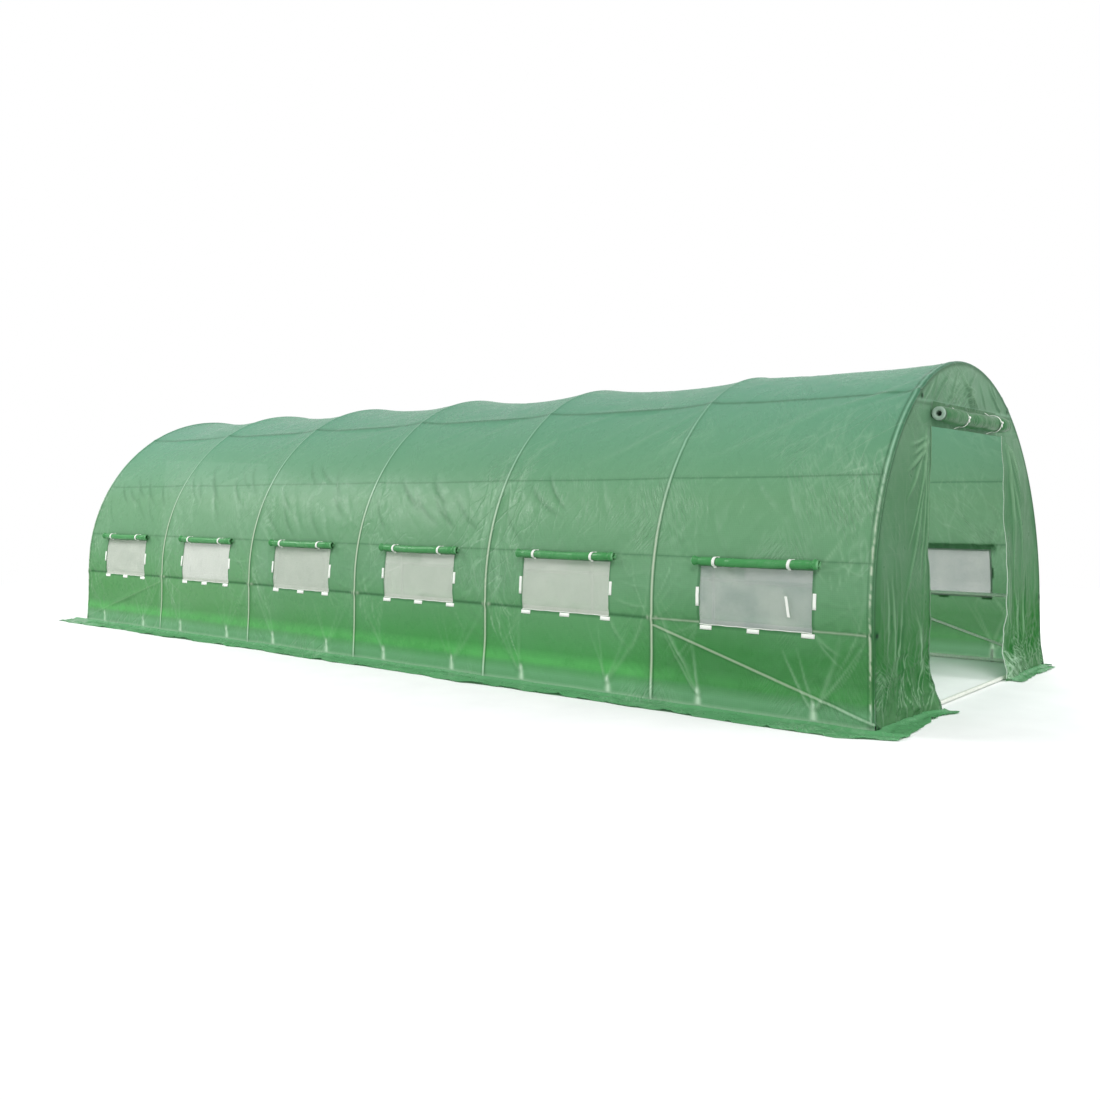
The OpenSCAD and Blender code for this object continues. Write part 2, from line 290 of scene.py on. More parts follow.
def fold_list():
    """Folds on one side: girth and place of both ends, width, height and how far the crest is painted pale,
    as whitening with a painted highlight, or dark as painted shade where below 0.
    """
    out = []
    for bay, mid in enumerate(MIDS):
        near = FOLD_SHARES[bay]
        fore, back = HOOPS[bay], HOOPS[bay + 1]
        # Soft slanted hollows between the shoulder seam and the window roll
        for k in range(5):
            h0 = some(1.12, 1.5)
            y0 = mid + 0.58 - 0.22 * k + some(-0.05, 0.05)
            out.append((h0, y0, h0 - some(0.3, 0.5), y0 - some(0.22, 0.36), some(0.016, 0.03),
                        -(near if bay == 0 else 0.4) * some(0.005, 0.009), 0.0))
        # Pulls from the straps up to the sill joints and under the window
        for strap, pulls in zip(reversed(STRAPS), STRAP_PULLS):
            for y1 in pulls:
                h1 = 0.47 if abs(y1) > 0.5 else some(0.36, 0.46)
                out.append((PULL_H, mid + strap + some(-0.02, 0.02), h1, mid + y1 + some(-0.03, 0.03),
                            some(0.008, 0.017), near * some(0.003, 0.007),
                            some(0.3, 0.95) * (1.1 if bay == 0 else 0.4)))
        # Fans from the sill joint on each hoop
        for hoop, way in ((fore, 1), (back, -1)):
            for k in range(7):
                out.append((H_SILL + some(-0.02, 0.3), hoop + way * 0.02, H_SILL + some(-0.36, 0.42),
                            hoop + way * some(0.10, 0.34), some(0.005, 0.010), near * some(0.002, 0.0045),
                            near * some(0.0, 0.4)))
        # Pulls at the window corners, and puckers between the window and the fore hoop
        for h in H_WIN:
            for way in (-1, 1):
                for k in range(4):
                    rise = some(0.02, 0.3) * (1 if h > 0.6 else -1)
                    out.append((h, mid + way * (WINDOW_W / 2 + 0.01), h + rise,
                                mid + way * (WINDOW_W / 2 + some(0.04, 0.24)), some(0.005, 0.011),
                                near * some(-0.003, 0.0045), near * some(0.0, 0.35)))
        for k in range(12 if bay == 0 else 7):
            y0 = fore + some(0.03, 0.26)
            h0 = some(0.5, 1.05)
            out.append((h0, y0, h0 + some(0.08, 0.24), y0 + some(-0.06, 0.08), some(0.004, 0.008),
                        near * some(0.0018, 0.004), near * some(0.1, 0.45)))
        # Short glinting creases above the roll
        for k in range(14 if bay == 0 else 7):
            y0 = mid + some(-0.6, 0.5)
            h0 = some(0.95, 1.4)
            out.append((h0, y0, h0 + some(0.06, 0.2), y0 + some(-0.14, 0.05), some(0.004, 0.008),
                        near * some(0.0012, 0.003), near * some(0.05, 0.35)))
        # Creases from packing, and long pulls over the roof
        for k in range(4):
            y0 = mid + some(-0.6, 0.6)
            h0 = some(1.45, 2.0)
            out.append((h0, y0, h0 + some(0.4, 0.9), y0 + some(-0.05, 0.05), some(0.006, 0.01),
                        some(0.001, 0.0024), 0.1))
        for k in range(6 if bay < 2 else 3):
            y0 = mid + some(-0.3, 0.66)
            h0 = some(1.3, 1.9)
            out.append((h0, y0, h0 + some(0.3, 0.55), y0 - some(0.4, 0.75), some(0.012, 0.024),
                        near * some(0.003, 0.006), 0.1))
    return out


def slant_list(seed):
    """Behind the front bay: soft hollows slanting down the shoulder, with painted shade in them, and crinkles
    beside the hoops.
    """
    pick = np.random.default_rng(seed).uniform
    out = []
    for bay, mid in enumerate(MIDS[1:], 1):
        for k in range(3 if bay == 1 else 8):
            h0 = pick(1.15, 1.62)
            y0 = mid + 0.60 - 0.12 * k + pick(-0.05, 0.05)
            out.append((h0, y0, h0 - pick(0.2, 0.34), y0 - pick(0.2, 0.38), pick(0.014, 0.026),
                        -pick(0.002, 0.004), -pick(0.3, 0.6)))
        # Crinkles beside the rear hoop, their crests painted pale as whitening and highlight
        for k in range(14 if bay == 1 else 7):
            h0 = pick(0.36, 0.95)
            y0 = HOOPS[bay + 1] - pick(0.03, 0.2)
            out.append((h0, y0, h0 - pick(0.1, 0.24), y0 - pick(0.0, 0.12), pick(0.004, 0.007),
                        pick(0.0015, 0.003), pick(0.3, 0.8)))
    return out


FOLDS = {-1: fold_list(), 1: fold_list()}
FOLDS[-1] += slant_list(29)
FOLDS[1] += slant_list(31)


def along_fold(a, b, da, db):
    """A fold's length, and where points lie: share of the way along, distance beside and past its ends."""
    span = math.hypot(da, db)
    t = (a * da + b * db) / span ** 2
    return span, t, (a * db - b * da) / span, np.maximum(np.abs(t - 0.5) - 0.5, 0) * span


def add_folds(d, s, y, pale=None):
    """Adds the folds to a grid of offsets by girth and place, and their crests' paint to pale: whitening with
    painted highlight, or painted shade where below 0.
    """
    for side, folds in FOLDS.items():
        for h0, y0, h1, y1, width, height, crest_whitening_and_light in folds:
            s0, s1 = (h0, h1) if side < 0 else (GIRTH - h0, GIRTH - h1)
            pad = 3 * width
            i0, i1 = np.searchsorted(s, [min(s0, s1) - pad, max(s0, s1) + pad])
            j0, j1 = np.searchsorted(y, [min(y0, y1) - pad, max(y0, y1) + pad])
            if i0 == i1 or j0 == j1:
                continue
            span, t, off, past = along_fold(s[i0:i1, None] - s0, y[None, j0:j1] - y0, s1 - s0, y1 - y0)
            bend = 0.015 if h0 == PULL_H else 0.06
            off = off + bend * np.sin(np.clip(t, 0, 1) * 3.1) * math.copysign(span, y1 - y0)
            keep = np.sin(np.clip(t, 0.03, 0.97) * math.pi) ** 0.7 * bell(past, width)
            if h0 == PULL_H:
                keep = ramp(t, -0.02, 0.08) * (1 - 0.8 * np.clip(t, 0, 1) ** 1.5) * bell(past, width)
            d[i0:i1, j0:j1] += height * (bell(off, width) * keep)
            # Painted highlight and whitening on the crest, or painted shade where the amount is below 0
            if pale is not None and crest_whitening_and_light != 0:
                pale[i0:i1, j0:j1] += crest_whitening_and_light * bell(off, 0.75 * width) * keep


def brace_line(h, y):
    """Distance across the wall from the middle of the nearest brace."""
    rise = BRACE_Z[1] - BRACE_Z[0]
    return ((h - BRACE_Z[0]) * STEP - (HALF - np.abs(y)) * rise) / math.hypot(STEP, rise)


def cover_sag(h, along, reach):
    """Sag between the hoops, held up where it meets the roof purlin."""
    turn = np.clip((h - LEG) / SKIN_R, 0, math.pi / 2)
    depth = 0.004 + 0.040 * ramp(turn, 0.35, 1.45)
    u = along - np.floor(along)
    d = -depth * np.array(SAGS)[np.floor(along).astype(int)] * (4 * u * (1 - u))
    d = np.maximum(d, -(0.0235 + 0.11 * np.abs(h - H_ROOF)))
    # The sheet leaves each hoop tube at a tangent, and is drawn in along the sill
    d = d - 0.006 * (1 - np.exp(-np.maximum(0, reach - 0.010) / 0.03))
    return d - 0.006 * bell(h - H_SILL, 0.03) * ramp(reach, 0.01, 0.08)


def cover_crumple(d, h, y, reach, side):
    """Adds broad waves and creases, stronger beside the hoops and in the front bay."""
    free = ramp(reach, 0.008, 0.06)
    wall = ramp(h, 0.08, 0.3) * (1 - ramp(h, 1.0, 1.5))
    near = bell(reach - 0.12, 0.16)
    behind = ramp(y, -2.9, -2.5)
    crumple = creases(h / 0.16 + side, y / 0.12 + h / 0.3, 5) * (1 - behind)
    crumple = crumple + creases(h / 0.36 + side, (y - 1.1 * h) / 0.11, 7) * behind
    fine = creases(h / 0.075 + side, y / 0.05 - h / 0.2, 17, 2)
    broad = noise(h / 0.55 + side, y / 0.42, 23)
    roof = creases(h / 0.5 + side, (y - 0.6 * h) / 0.11, 41, 2)
    d = d + free * broad * (0.004 + 0.003 * wall)
    fore = 1 + 0.5 * (1 - ramp(y, -3.0, -2.4))
    calm = 1 - 0.55 * behind * ramp(h, 0.8, 1.0)
    d = d + free * (crumple - 0.4) * (0.0022 + 0.0050 * wall * (0.35 + near)) * fore * calm
    d = d + free * (fine - 0.4) * (0.0008 + 0.0028 * wall * near) * fore
    return d + free * (roof - 0.4) * 0.003 * ramp(h, 1.2, 1.8) * calm


def cover_foot(d, h, y, side, foot):
    """Adds the foot's puckers, drawn in at the straps and spread out between them."""
    pucker = 0.008 * noise(y / 0.13 + side, 0 * h, 61) + 0.010 * noise(y / 0.41 + side, 0 * h, 67)
    d = d + foot * (pucker + 0.012)
    for mid in MIDS:
        for strap in STRAPS:
            d = d - 0.007 * bell(y - mid - strap, 0.04) * bell(h - 0.05, 0.07)
    return d


def cover_held(d, h, y, reach, foot):
    """Keeps the cover out of every tube, and turns it in over the end hoops."""
    d = np.maximum(d, np.where(reach < TUBE_R, -0.0012, -0.5))
    off = np.abs(brace_line(h, y))
    held = (h > BRACE_Z[0] - 0.03) & (h < BRACE_Z[1] + 0.03) & (np.abs(y) > HALF - STEP)
    d = np.where(held, np.maximum(d, -0.0012 - 0.35 * np.maximum(0, off - 0.006)), d)
    d = np.where(np.abs(h - H_SILL) < 0.02, np.maximum(d, -0.022), d)
    d = np.where(np.abs(h - H_ROOF) < 0.02, np.maximum(d, -0.024), d)
    d = np.minimum(d, 0.02 + 0.012 * foot)
    lip = np.clip((np.abs(y) - HALF - 0.004) / (SKIN_Y - HALF - 0.004), 0, 1)
    return d - 0.009 * lip * lip


def cover_offset(s, y, pale=None):
    """How far the cover stands out from its arch, on a grid of girths by places along Y."""
    S, Y = s[:, None], y[None, :]
    h = np.minimum(S, GIRTH - S)
    along = np.clip((Y + HALF) / STEP, 0, BAYS - 1e-6)
    u = along - np.floor(along)
    reach = np.where(np.abs(Y) > HALF, 0, np.minimum(u, 1 - u) * STEP)
    side = np.where(S < GIRTH / 2, 0.0, 37.0)
    foot = 1 - ramp(h, 0.02, 0.3)
    d = cover_crumple(cover_sag(h, along, reach), h, Y, reach, side)
    d = cover_foot(d, h, Y, side, foot)
    add_folds(d, s, y, pale)
    # Puckers into the end hoops, and lumps over the clamps at the sill and the roof purlins
    ends = bell(np.abs(Y) - HALF + 0.045, 0.035)
    d = d + ends * 0.0075 * (creases(h / 0.034 + side, Y / 0.07 + h / 0.05, 71, 2) - 0.35)
    d = d + 0.006 * bell(reach, 0.034) * (bell(h - H_SILL, 0.022) + 0.6 * bell(h - H_ROOF, 0.022))
    return cover_held(d, h, Y, reach, foot)


def cover_points(s, y, lift=0.0, pale=None):
    """Points on the finished cover for a grid of girths by places, lifted off it by lift."""
    P = off_arch(s[:, None], y, cover_offset(s, y, pale) + lift)
    P[..., 2] = np.maximum(P[..., 2], 0.002)
    return P


# Meshes

def mesh_object(name, co, quads, mat, uv, marks=None):
    """A smooth mesh object from numpy vertices and four-sided faces, riding on the root body."""
    used = np.zeros(len(co), bool)
    used[quads.ravel()] = True
    renum = np.cumsum(used) - 1
    quads = renum[quads]
    co = co[used]
    me = bpy.data.meshes.new(name)
    me.vertices.add(len(co))
    me.vertices.foreach_set("co", co.astype(np.float32).ravel())
    me.loops.add(quads.size)
    me.loops.foreach_set("vertex_index", quads.astype(np.int32).ravel())
    me.polygons.add(len(quads))
    me.polygons.foreach_set("loop_start", np.arange(0, quads.size, 4, dtype=np.int32))
    me.polygons.foreach_set("use_smooth", np.ones(len(quads), bool))
    layer = me.uv_layers.new(name="UVMap")
    layer.data.foreach_set("uv", uv[used][quads.ravel()].astype(np.float32).ravel())
    for key, values in (marks or {}).items():
        attr = me.attributes.new(key, "FLOAT", "POINT")
        attr.data.foreach_set("value", values[used].astype(np.float32))
    me.update(calc_edges=True)
    me.validate()
    ob = bpy.data.objects.new(name, me)
    bpy.context.scene.collection.objects.link(ob)
    me.materials.append(mat)
    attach(ob, "root")
    return ob


def grid_quads(rows, cols, flip=False, keep=None, start=0):
    i, j = np.meshgrid(np.arange(rows - 1), np.arange(cols - 1), indexing="ij")
    if keep is not None:
        i, j = i[keep], j[keep]
    a = (i * cols + j).ravel() + start
    q = np.stack([a, a + 1, a + cols + 1, a + cols], axis=1)
    return q[:, ::-1] if flip else q


def grid_object(name, P, uv, mat, flip=False, keep=None, marks=None):
    rows, cols = P.shape[:2]
    marks = {k: v.ravel() for k, v in (marks or {}).items()}
    quads = grid_quads(rows, cols, flip, keep)
    return mesh_object(name, P.reshape(-1, 3), quads, mat, uv.reshape(-1, 2), marks)


def dress(ob, node):
    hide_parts(node)


class Heap:
    """Collects small grids into one mesh."""

    def __init__(self):
        self.co, self.quads, self.uv, self.n = [], [], [], 0

    def grid(self, P, uv=None, flip=False):
        rows, cols = P.shape[:2]
        self.quads.append(grid_quads(rows, cols, flip, start=self.n))
        self.co.append(P.reshape(-1, 3))
        if uv is None:
            uv = points(np.linspace(0, 1, rows)[:, None], np.linspace(0, 1, cols))
        self.uv.append(uv.reshape(-1, 2))
        self.n += rows * cols

    def ribbon(self, path, across, width, thick, out):
        """A flat strap: path points, one direction across, and one outward normal per point."""
        path, across, out = np.asarray(path), np.asarray(across, float), np.asarray(out)
        half, t = width / 2, thick / 2
        ring = [(-half, -t), (-half * 0.98, t), (half * 0.98, t), (half, -t), (-half, -t)]
        P = np.stack([path + across * a + out * b for a, b in ring], axis=1)
        uv = points(run_along(path)[:, None], np.array([0, 0, width, width, 0]))
        self.grid(P, uv)
        for end in (0, -1):
            cap = P[end][[0, 1, 3, 2]].reshape(2, 2, 3)
            self.grid(cap, uv[end][[0, 1, 3, 2]].reshape(2, 2, 2), flip=end == 0)

    def tube(self, path, radius, sides):
        """A round tube along a path, for piping and teeth."""
        path = np.asarray(path, float)
        tang = unit(np.gradient(path, axis=0))
        ref = np.where(np.abs(tang[:, 2:3]) > 0.9, np.array([[1.0, 0, 0]]), np.array([[0, 0, 1.0]]))
        a = unit(np.cross(tang, ref))
        b = np.cross(tang, a)
        ang = np.linspace(0, 2 * math.pi, sides + 1)
        turned = a[:, None] * np.cos(ang)[None, :, None] + b[:, None] * np.sin(ang)[None, :, None]
        radius = np.broadcast_to(radius, (len(path),))[:, None, None]
        self.grid(path[:, None] + radius * turned, points(run_along(path)[:, None], ang * 0.01), flip=True)

    def object(self, name, mat):
        co, quads, uv = (np.concatenate(part) for part in (self.co, self.quads, self.uv))
        return mesh_object(name, co, quads, mat, uv)


# Materials

def lin(*screen):
    """A colour given as it looks on screen, 0 to 255, in the numbers a shader takes."""
    parts = [c / 255 for c in screen]
    return tuple(c / 12.92 if c <= 0.04045 else ((c + 0.055) / 1.055) ** 2.4 for c in parts) + (1,)


class Nodes:
    """Builds the node tree of a material or a world."""

    def __init__(self, owner):
        self.owner = owner
        owner.use_nodes = True
        self.tree = owner.node_tree
        self.tree.nodes.clear()

    def add(self, kind, inputs=None, **settings):
        n = self.tree.nodes.new(kind)
        for key, value in settings.items():
            setattr(n, key, value)
        for key, value in (inputs or {}).items():
            self.put(n.inputs[key], value)
        return n

    def put(self, socket, value):
        if isinstance(value, bpy.types.NodeSocket):
            self.tree.links.new(value, socket)
        elif isinstance(value, bpy.types.Node):
            self.tree.links.new(value.outputs[0], socket)
        else:
            socket.default_value = value

    def math(self, op, a, b=0.0, clamp=False):
        return self.add("ShaderNodeMath", {0: a, 1: b}, operation=op, use_clamp=clamp).outputs[0]

    def times(self, a, b, clamp=False):
        return self.math("MULTIPLY", a, b, clamp)

    def plus(self, a, b):
        return self.math("ADD", a, b)

    def minus(self, a, b, clamp=False):
        return self.math("SUBTRACT", a, b, clamp)

    def most(self, a, b):
        return self.math("MAXIMUM", a, b)

    def gap(self, a, b):
        return self.math("ABSOLUTE", self.minus(a, b))

    def mix(self, fac, a, b):
        return self.add("ShaderNodeMix", {0: fac, 6: a, 7: b}, data_type="RGBA").outputs[2]

    def attr(self, name):
        return self.add("ShaderNodeAttribute", attribute_name=name).outputs["Fac"]

    def noise(self, vector, scale, detail, rough=0.55):
        values = {"Vector": vector, "Scale": scale, "Detail": detail, "Roughness": rough}
        return self.add("ShaderNodeTexNoise", values).outputs[0]

    def bands(self, vector, period, axis):
        values = {"Vector": vector, "Scale": 0.31416 / period}
        return self.add("ShaderNodeTexWave", values, wave_type="BANDS", bands_direction=axis).outputs[1]

    def range(self, value, a, b, c=0.0, d=1.0):
        return self.add("ShaderNodeMapRange", {0: value, 1: a, 2: b, 3: c, 4: d}).outputs[0]

    def coords(self):
        n = self.add("ShaderNodeTexCoord")
        return n.outputs["UV"], n.outputs["Object"]

    def axes(self, place):
        return self.add("ShaderNodeSeparateXYZ", {0: place}).outputs

    def bump(self, height, strength, distance, normal=None):
        values = {"Strength": strength, "Distance": distance, "Height": height}
        if normal is not None:
            values["Normal"] = normal
        return self.add("ShaderNodeBump", values).outputs[0]

    def surface(self, tint, shine, normal):
        values = {"Base Color": tint, "Roughness": shine, "Normal": normal}
        return self.add("ShaderNodeBsdfPrincipled", values)

    def blend(self, share, first, second):
        return self.add("ShaderNodeMixShader", {0: share, 1: first, 2: second})

    def seen(self):
        """1 for rays from the camera, off mirrors and through glass."""
        path = self.add("ShaderNodeLightPath").outputs
        direct = self.most(path["Is Camera Ray"], path["Is Glossy Ray"])
        return self.most(direct, path["Is Transmission Ray"])

    def done(self, shader):
        self.add("ShaderNodeOutputMaterial", {0: shader})
        return self.owner


def new_nodes(name):
    return Nodes(bpy.data.materials.new(name))


# Where the front bay's tints pass into the next bay's, along Y
FRONT_BAY = (-2.9, -2.4)


def crinkle(n, uv, along, across, turn, thin):
    """Thin crests of small creases, 0 to 1, drawn out along one way of the sheet."""
    values = {"Vector": uv, "Rotation": (0, 0, turn), "Scale": (along, across, 1)}
    place = n.add("ShaderNodeMapping", values, vector_type="TEXTURE")
    crest = n.range(n.gap(n.noise(place, 1.0, 1.5, 0.5), 0.5), 0.0, thin, 1.0, 0.0)
    return n.math("POWER", crest, 1.6)


def crease_height(n, uv, place, slack):
    """Long thin creases, and small ones in patches that each run one way."""
    patches = n.range(n.noise(place, 2.1, 2), 0.5, 0.66)
    bands = n.range(n.noise(place, 1.1, 2), 0.46, 0.62)
    one_way = n.range(n.noise(place, 1.9, 1), 0.44, 0.56)
    small = n.plus(n.times(crinkle(n, uv, 0.17, 0.024, 0.45, 0.11), one_way),
                   n.times(crinkle(n, uv, 0.13, 0.020, -0.6, 0.11), n.minus(1.0, one_way)))
    thin = n.plus(crinkle(n, uv, 0.60, 0.14, 0.06, 0.04), crinkle(n, uv, 0.42, 0.12, -0.7, 0.04))
    return n.times(n.plus(n.times(small, patches), n.times(thin, bands)), slack)


def brace_shade(n, axes):
    """The pale line where a wall lies on its brace and the painted shade beside it, from place alone."""
    along = n.minus(HALF, n.math("ABSOLUTE", axes[1]))
    rise = BRACE_Z[1] - BRACE_Z[0]
    size = math.hypot(STEP, rise)
    up = n.times(n.minus(axes[2], BRACE_Z[0]), STEP / size)
    off = n.gap(up, n.times(along, rise / size))
    inside = n.times(n.math("LESS_THAN", along, STEP), n.math("LESS_THAN", axes[2], BRACE_Z[1]))
    inside = n.times(inside, n.range(axes[1], -1.0, 1.0, 1.0, 0.15))
    beside = n.range(n.gap(off, 0.0135), 0.0, 0.006, 0.35, 0.0)
    return n.times(n.range(off, 0.003, 0.0092, 0.55, 0.0), inside), n.times(beside, inside)


def wall_tint(n, axes, low, mid):
    """The cover's tint up to the shoulder, which changes from bay to bay."""
    _, y, z = axes
    low = n.mix(n.range(y, *FRONT_BAY), low, lin(70, 154, 74))
    low = n.mix(n.range(y, -0.3, 1.4), low, lin(90, 156, 91))
    middle = n.times(n.range(y, *FRONT_BAY), n.range(y, 1.2, 1.6, 1.0, 0.0))
    fore = n.range(y, *FRONT_BAY, 1.0, 0.0)
    sooner = n.plus(n.times(n.range(z, 0.17, 0.67), middle), n.times(n.range(z, 0.34, 0.70), fore))
    return n.mix(n.most(n.range(z, 0.38, 0.9), sooner), low, mid)


def foot_tint(n, place, axes, tint):
    """A band of painted light, standing in for light through the film from inside, over a pale foot along the
    side walls.
    """
    _, y, z = axes
    # Painted light: a brighter band just above the foot
    painted_light_band = n.times(n.range(z, 0.12, 0.15), n.range(z, 0.17, 0.23, 0.7, 0.0))
    painted_light_band = n.times(painted_light_band, n.range(y, -2.9, -2.5, 0.35, 1.0))
    painted_light_band = n.times(painted_light_band, n.range(n.noise(place, 9.0, 4), 0.35, 0.6, 0.55, 1.0))
    tint = n.mix(painted_light_band, tint, lin(106, 198, 110))
    return n.mix(n.range(z, 0.08, 0.15, 0.6, 0.0), tint, lin(142, 198, 156))


def marked_tint(n, axes, tint, see, wall):
    """The tint and clearness of a sheet with marks where it is rubbed, doubled or whitened, and with painted
    highlights and painted shade.
    """
    z = axes[2]
    touch, dark_and_shade, pale = n.attr("touch"), n.attr("dark_and_shade"), n.attr("pale")
    if wall:
        line, side = brace_shade(n, axes)
        touch, dark_and_shade = n.most(touch, line), n.most(dark_and_shade, side)
    # Crests painted paler as whitening and highlight, then darker where the film is doubled and where shade
    # is painted
    tint = n.mix(n.times(pale, 0.6), tint, lin(170, 208, 172))
    tint = n.mix(n.times(dark_and_shade, 0.75), tint, lin(28, 84, 46))
    rubbed = n.mix(n.range(z, 0.10, 0.18), lin(226, 250, 226), lin(216, 226, 204))
    rubbed = n.mix(n.range(z, 0.9, 1.5), rubbed, lin(176, 220, 192))
    tint = n.mix(n.times(touch, 0.92), tint, rubbed)
    tint = n.mix(n.minus(dark_and_shade, 1.0, True), tint, lin(14, 44, 24))
    return tint, n.times(see, n.minus(1.0, n.most(touch, dark_and_shade)), True)


def sheet_material(name, low, mid, high, glow, see=0.03, rough=0.29, marked=False, wall=False,
                   lining=None, loose=0.5, gloss=0.28):
    """Woven translucent film: tint up the wall with a painted sky reflection towards the top, ripstop weave,
    creases with painted glints on their crests, light through it.
    """
    n = new_nodes(name)
    uv, place = n.coords()
    axes = n.axes(place)
    z = axes[2]
    tint = wall_tint(n, axes, low, mid) if wall else n.mix(n.range(z, 0.38, 0.9), low, mid)
    # Painted reflection: paler blue-green towards the top, for the sky seen in the sheet
    tint = n.mix(n.range(z, 1.2, 1.9), tint, high)
    tint = n.mix(n.range(n.noise(place, 1.7, 4, 0.6), 0.35, 0.7, 0.0, 0.16), tint, lin(128, 176, 140))
    if wall:
        tint = foot_tint(n, place, axes, tint)
    stripe = n.times(n.bands(uv, 0.011, "X"), n.bands(uv, 0.011, "Y"))
    tint = n.mix(n.range(stripe, 0.0, 0.12, 0.10, 0.0), tint, (0.02, 0.09, 0.04, 1))
    slack = n.attr("slack") if marked else loose
    crease = crease_height(n, uv, place, slack)
    # Crease crests painted paler: whitening of the stretched film and painted glints
    crest_glint_and_whitening = n.times(crease, n.plus(0.05, n.times(slack, 0.20)), True)
    tint = n.mix(crest_glint_and_whitening, tint, lin(178, 214, 182))
    clear = see
    if marked:
        tint, clear = marked_tint(n, axes, tint, see, wall)
    if lining:
        tint = n.mix(n.attr("lining"), tint, lining)
    weave = n.plus(n.bands(uv, 0.0032, "X"), n.bands(uv, 0.0032, "Y"))
    normal = n.bump(weave, 0.12, 0.0006)
    normal = n.bump(crease, 1.0, 0.0034, normal)
    film = n.surface(tint, n.range(n.noise(place, 9.0, 3), 0.3, 0.7, rough - 0.07, rough + 0.09), normal)
    film.inputs["Specular IOR Level"].default_value = gloss
    through = n.add("ShaderNodeBsdfTranslucent", {"Color": tint, "Normal": normal})
    hole = n.add("ShaderNodeBsdfTransparent", {"Color": (0.86, 0.97, 0.90, 1)})
    return n.done(n.blend(clear, n.blend(glow, film, through), hole))


def webbing_material(name, low, high):
    n = new_nodes(name)
    uv, place = n.coords()
    weave = n.times(n.bands(uv, 0.003, "X"), n.bands(uv, 0.002, "Y"))
    tint = n.mix(n.range(weave, 0, 1, 0.0, 0.6), low, high)
    tint = n.mix(n.range(n.noise(place, 14.0, 4), 0.5, 0.75, 0, 0.4), tint, low)
    return n.done(n.surface(tint, 0.75, n.bump(weave, 0.5, 0.0006)))


def net_material():
    n = new_nodes("window_net")
    uv, place = n.coords()
    warp, weft = (n.range(n.bands(uv, 0.0036, axis), 0.35, 0.6) for axis in "XY")
    solid = n.range(n.most(warp, weft), 0, 1, 0.34, 1.0)
    tint = n.mix(n.range(n.noise(place, 5.0, 3), 0.35, 0.65), lin(164, 172, 169), lin(186, 191, 186))
    # Painted light: nets behind the front bay are paler, for the sky seen through them
    tint = n.mix(n.range(n.axes(place)[1], *FRONT_BAY, 0.0, 0.7), tint, lin(214, 217, 205))
    thread = n.surface(tint, 0.7, n.bump(n.plus(warp, weft), 0.3, 0.0006))
    glow = n.add("ShaderNodeBsdfTranslucent", {"Color": tint})
    return n.done(n.blend(solid, n.add("ShaderNodeBsdfTransparent"), n.blend(0.3, thread, glow)))


def tube_material():
    n = new_nodes("coated_tube")
    _, place = n.coords()
    zinc = n.add("ShaderNodeTexVoronoi", {"Scale": 85.0, "Vector": place}).outputs["Distance"]
    tint = n.mix(n.range(zinc, 0.0, 0.6), lin(205, 212, 200), lin(228, 231, 222))
    stain = n.noise(place, 7.0, 5, 0.65)
    tint = n.mix(n.range(stain, 0.55, 0.8, 0, 0.5), tint, lin(168, 176, 160))
    steel = n.surface(tint, n.range(zinc, 0, 0.6, 0.34, 0.5), n.bump(stain, 0.12, 0.002))
    steel.inputs["Metallic"].default_value = 0.25
    return n.done(steel)


def clamp_material():
    n = new_nodes("moulded_clamp")
    _, place = n.coords()
    dust = n.noise(place, 18.0, 4)
    tint = n.mix(n.range(dust, 0.35, 0.7), lin(56, 74, 62), lin(92, 112, 96))
    normal = n.bump(n.noise(place, 320.0, 2), 0.25, 0.0008)
    return n.done(n.surface(tint, n.range(dust, 0.3, 0.7, 0.42, 0.6), normal))


COVER = sheet_material("cover_film", lin(60, 134, 64), lin(114, 162, 122), lin(104, 162, 135), glow=0.34,
                       marked=True, wall=True, gloss=0.16)
PANEL = sheet_material("end_film", lin(28, 110, 34), lin(76, 123, 84), lin(112, 148, 120), glow=0.34,
                       rough=0.34, marked=True, gloss=0.1)
SKIRT = sheet_material("skirt_film", *[lin(92, 160, 106)] * 3, see=0.0, glow=0.15, loose=1.0)
FLAP = sheet_material("flap_film", *[lin(60, 142, 74)] * 3, see=0.0, glow=0.14,
                      lining=lin(150, 214, 160), loose=0.35)
DOOR = sheet_material("door_film", *[lin(34, 96, 46)] * 3, see=0.0, glow=0.1, rough=0.34,
                      lining=lin(196, 206, 198), gloss=0.12)
WHITE = webbing_material("white_webbing", lin(226, 230, 222), lin(244, 246, 240))
ZIP = webbing_material("zip_tape", lin(84, 124, 90), lin(108, 146, 112))
TEETH = webbing_material("zip_teeth", lin(176, 196, 178), lin(208, 220, 206))
EDGE = webbing_material("rolled_edges", lin(146, 172, 154), lin(178, 198, 184))
NET = net_material()
TUBE = tube_material()
CLAMP = clamp_material()
FINISHES = {"tube": TUBE, "clamp": CLAMP, "cover": COVER, "panel": PANEL, "net": NET, "flap": FLAP,
            "webbing": WHITE}

for node, ob in frame["nodes"].items():
    slot = next(p["material_slot"] for p in frame["record"]["subparts"] if p["node"] == node)
    ob.data.materials.clear()
    ob.data.materials.append(FINISHES[slot])
    for poly in ob.data.polygons:
        poly.material_index = 0

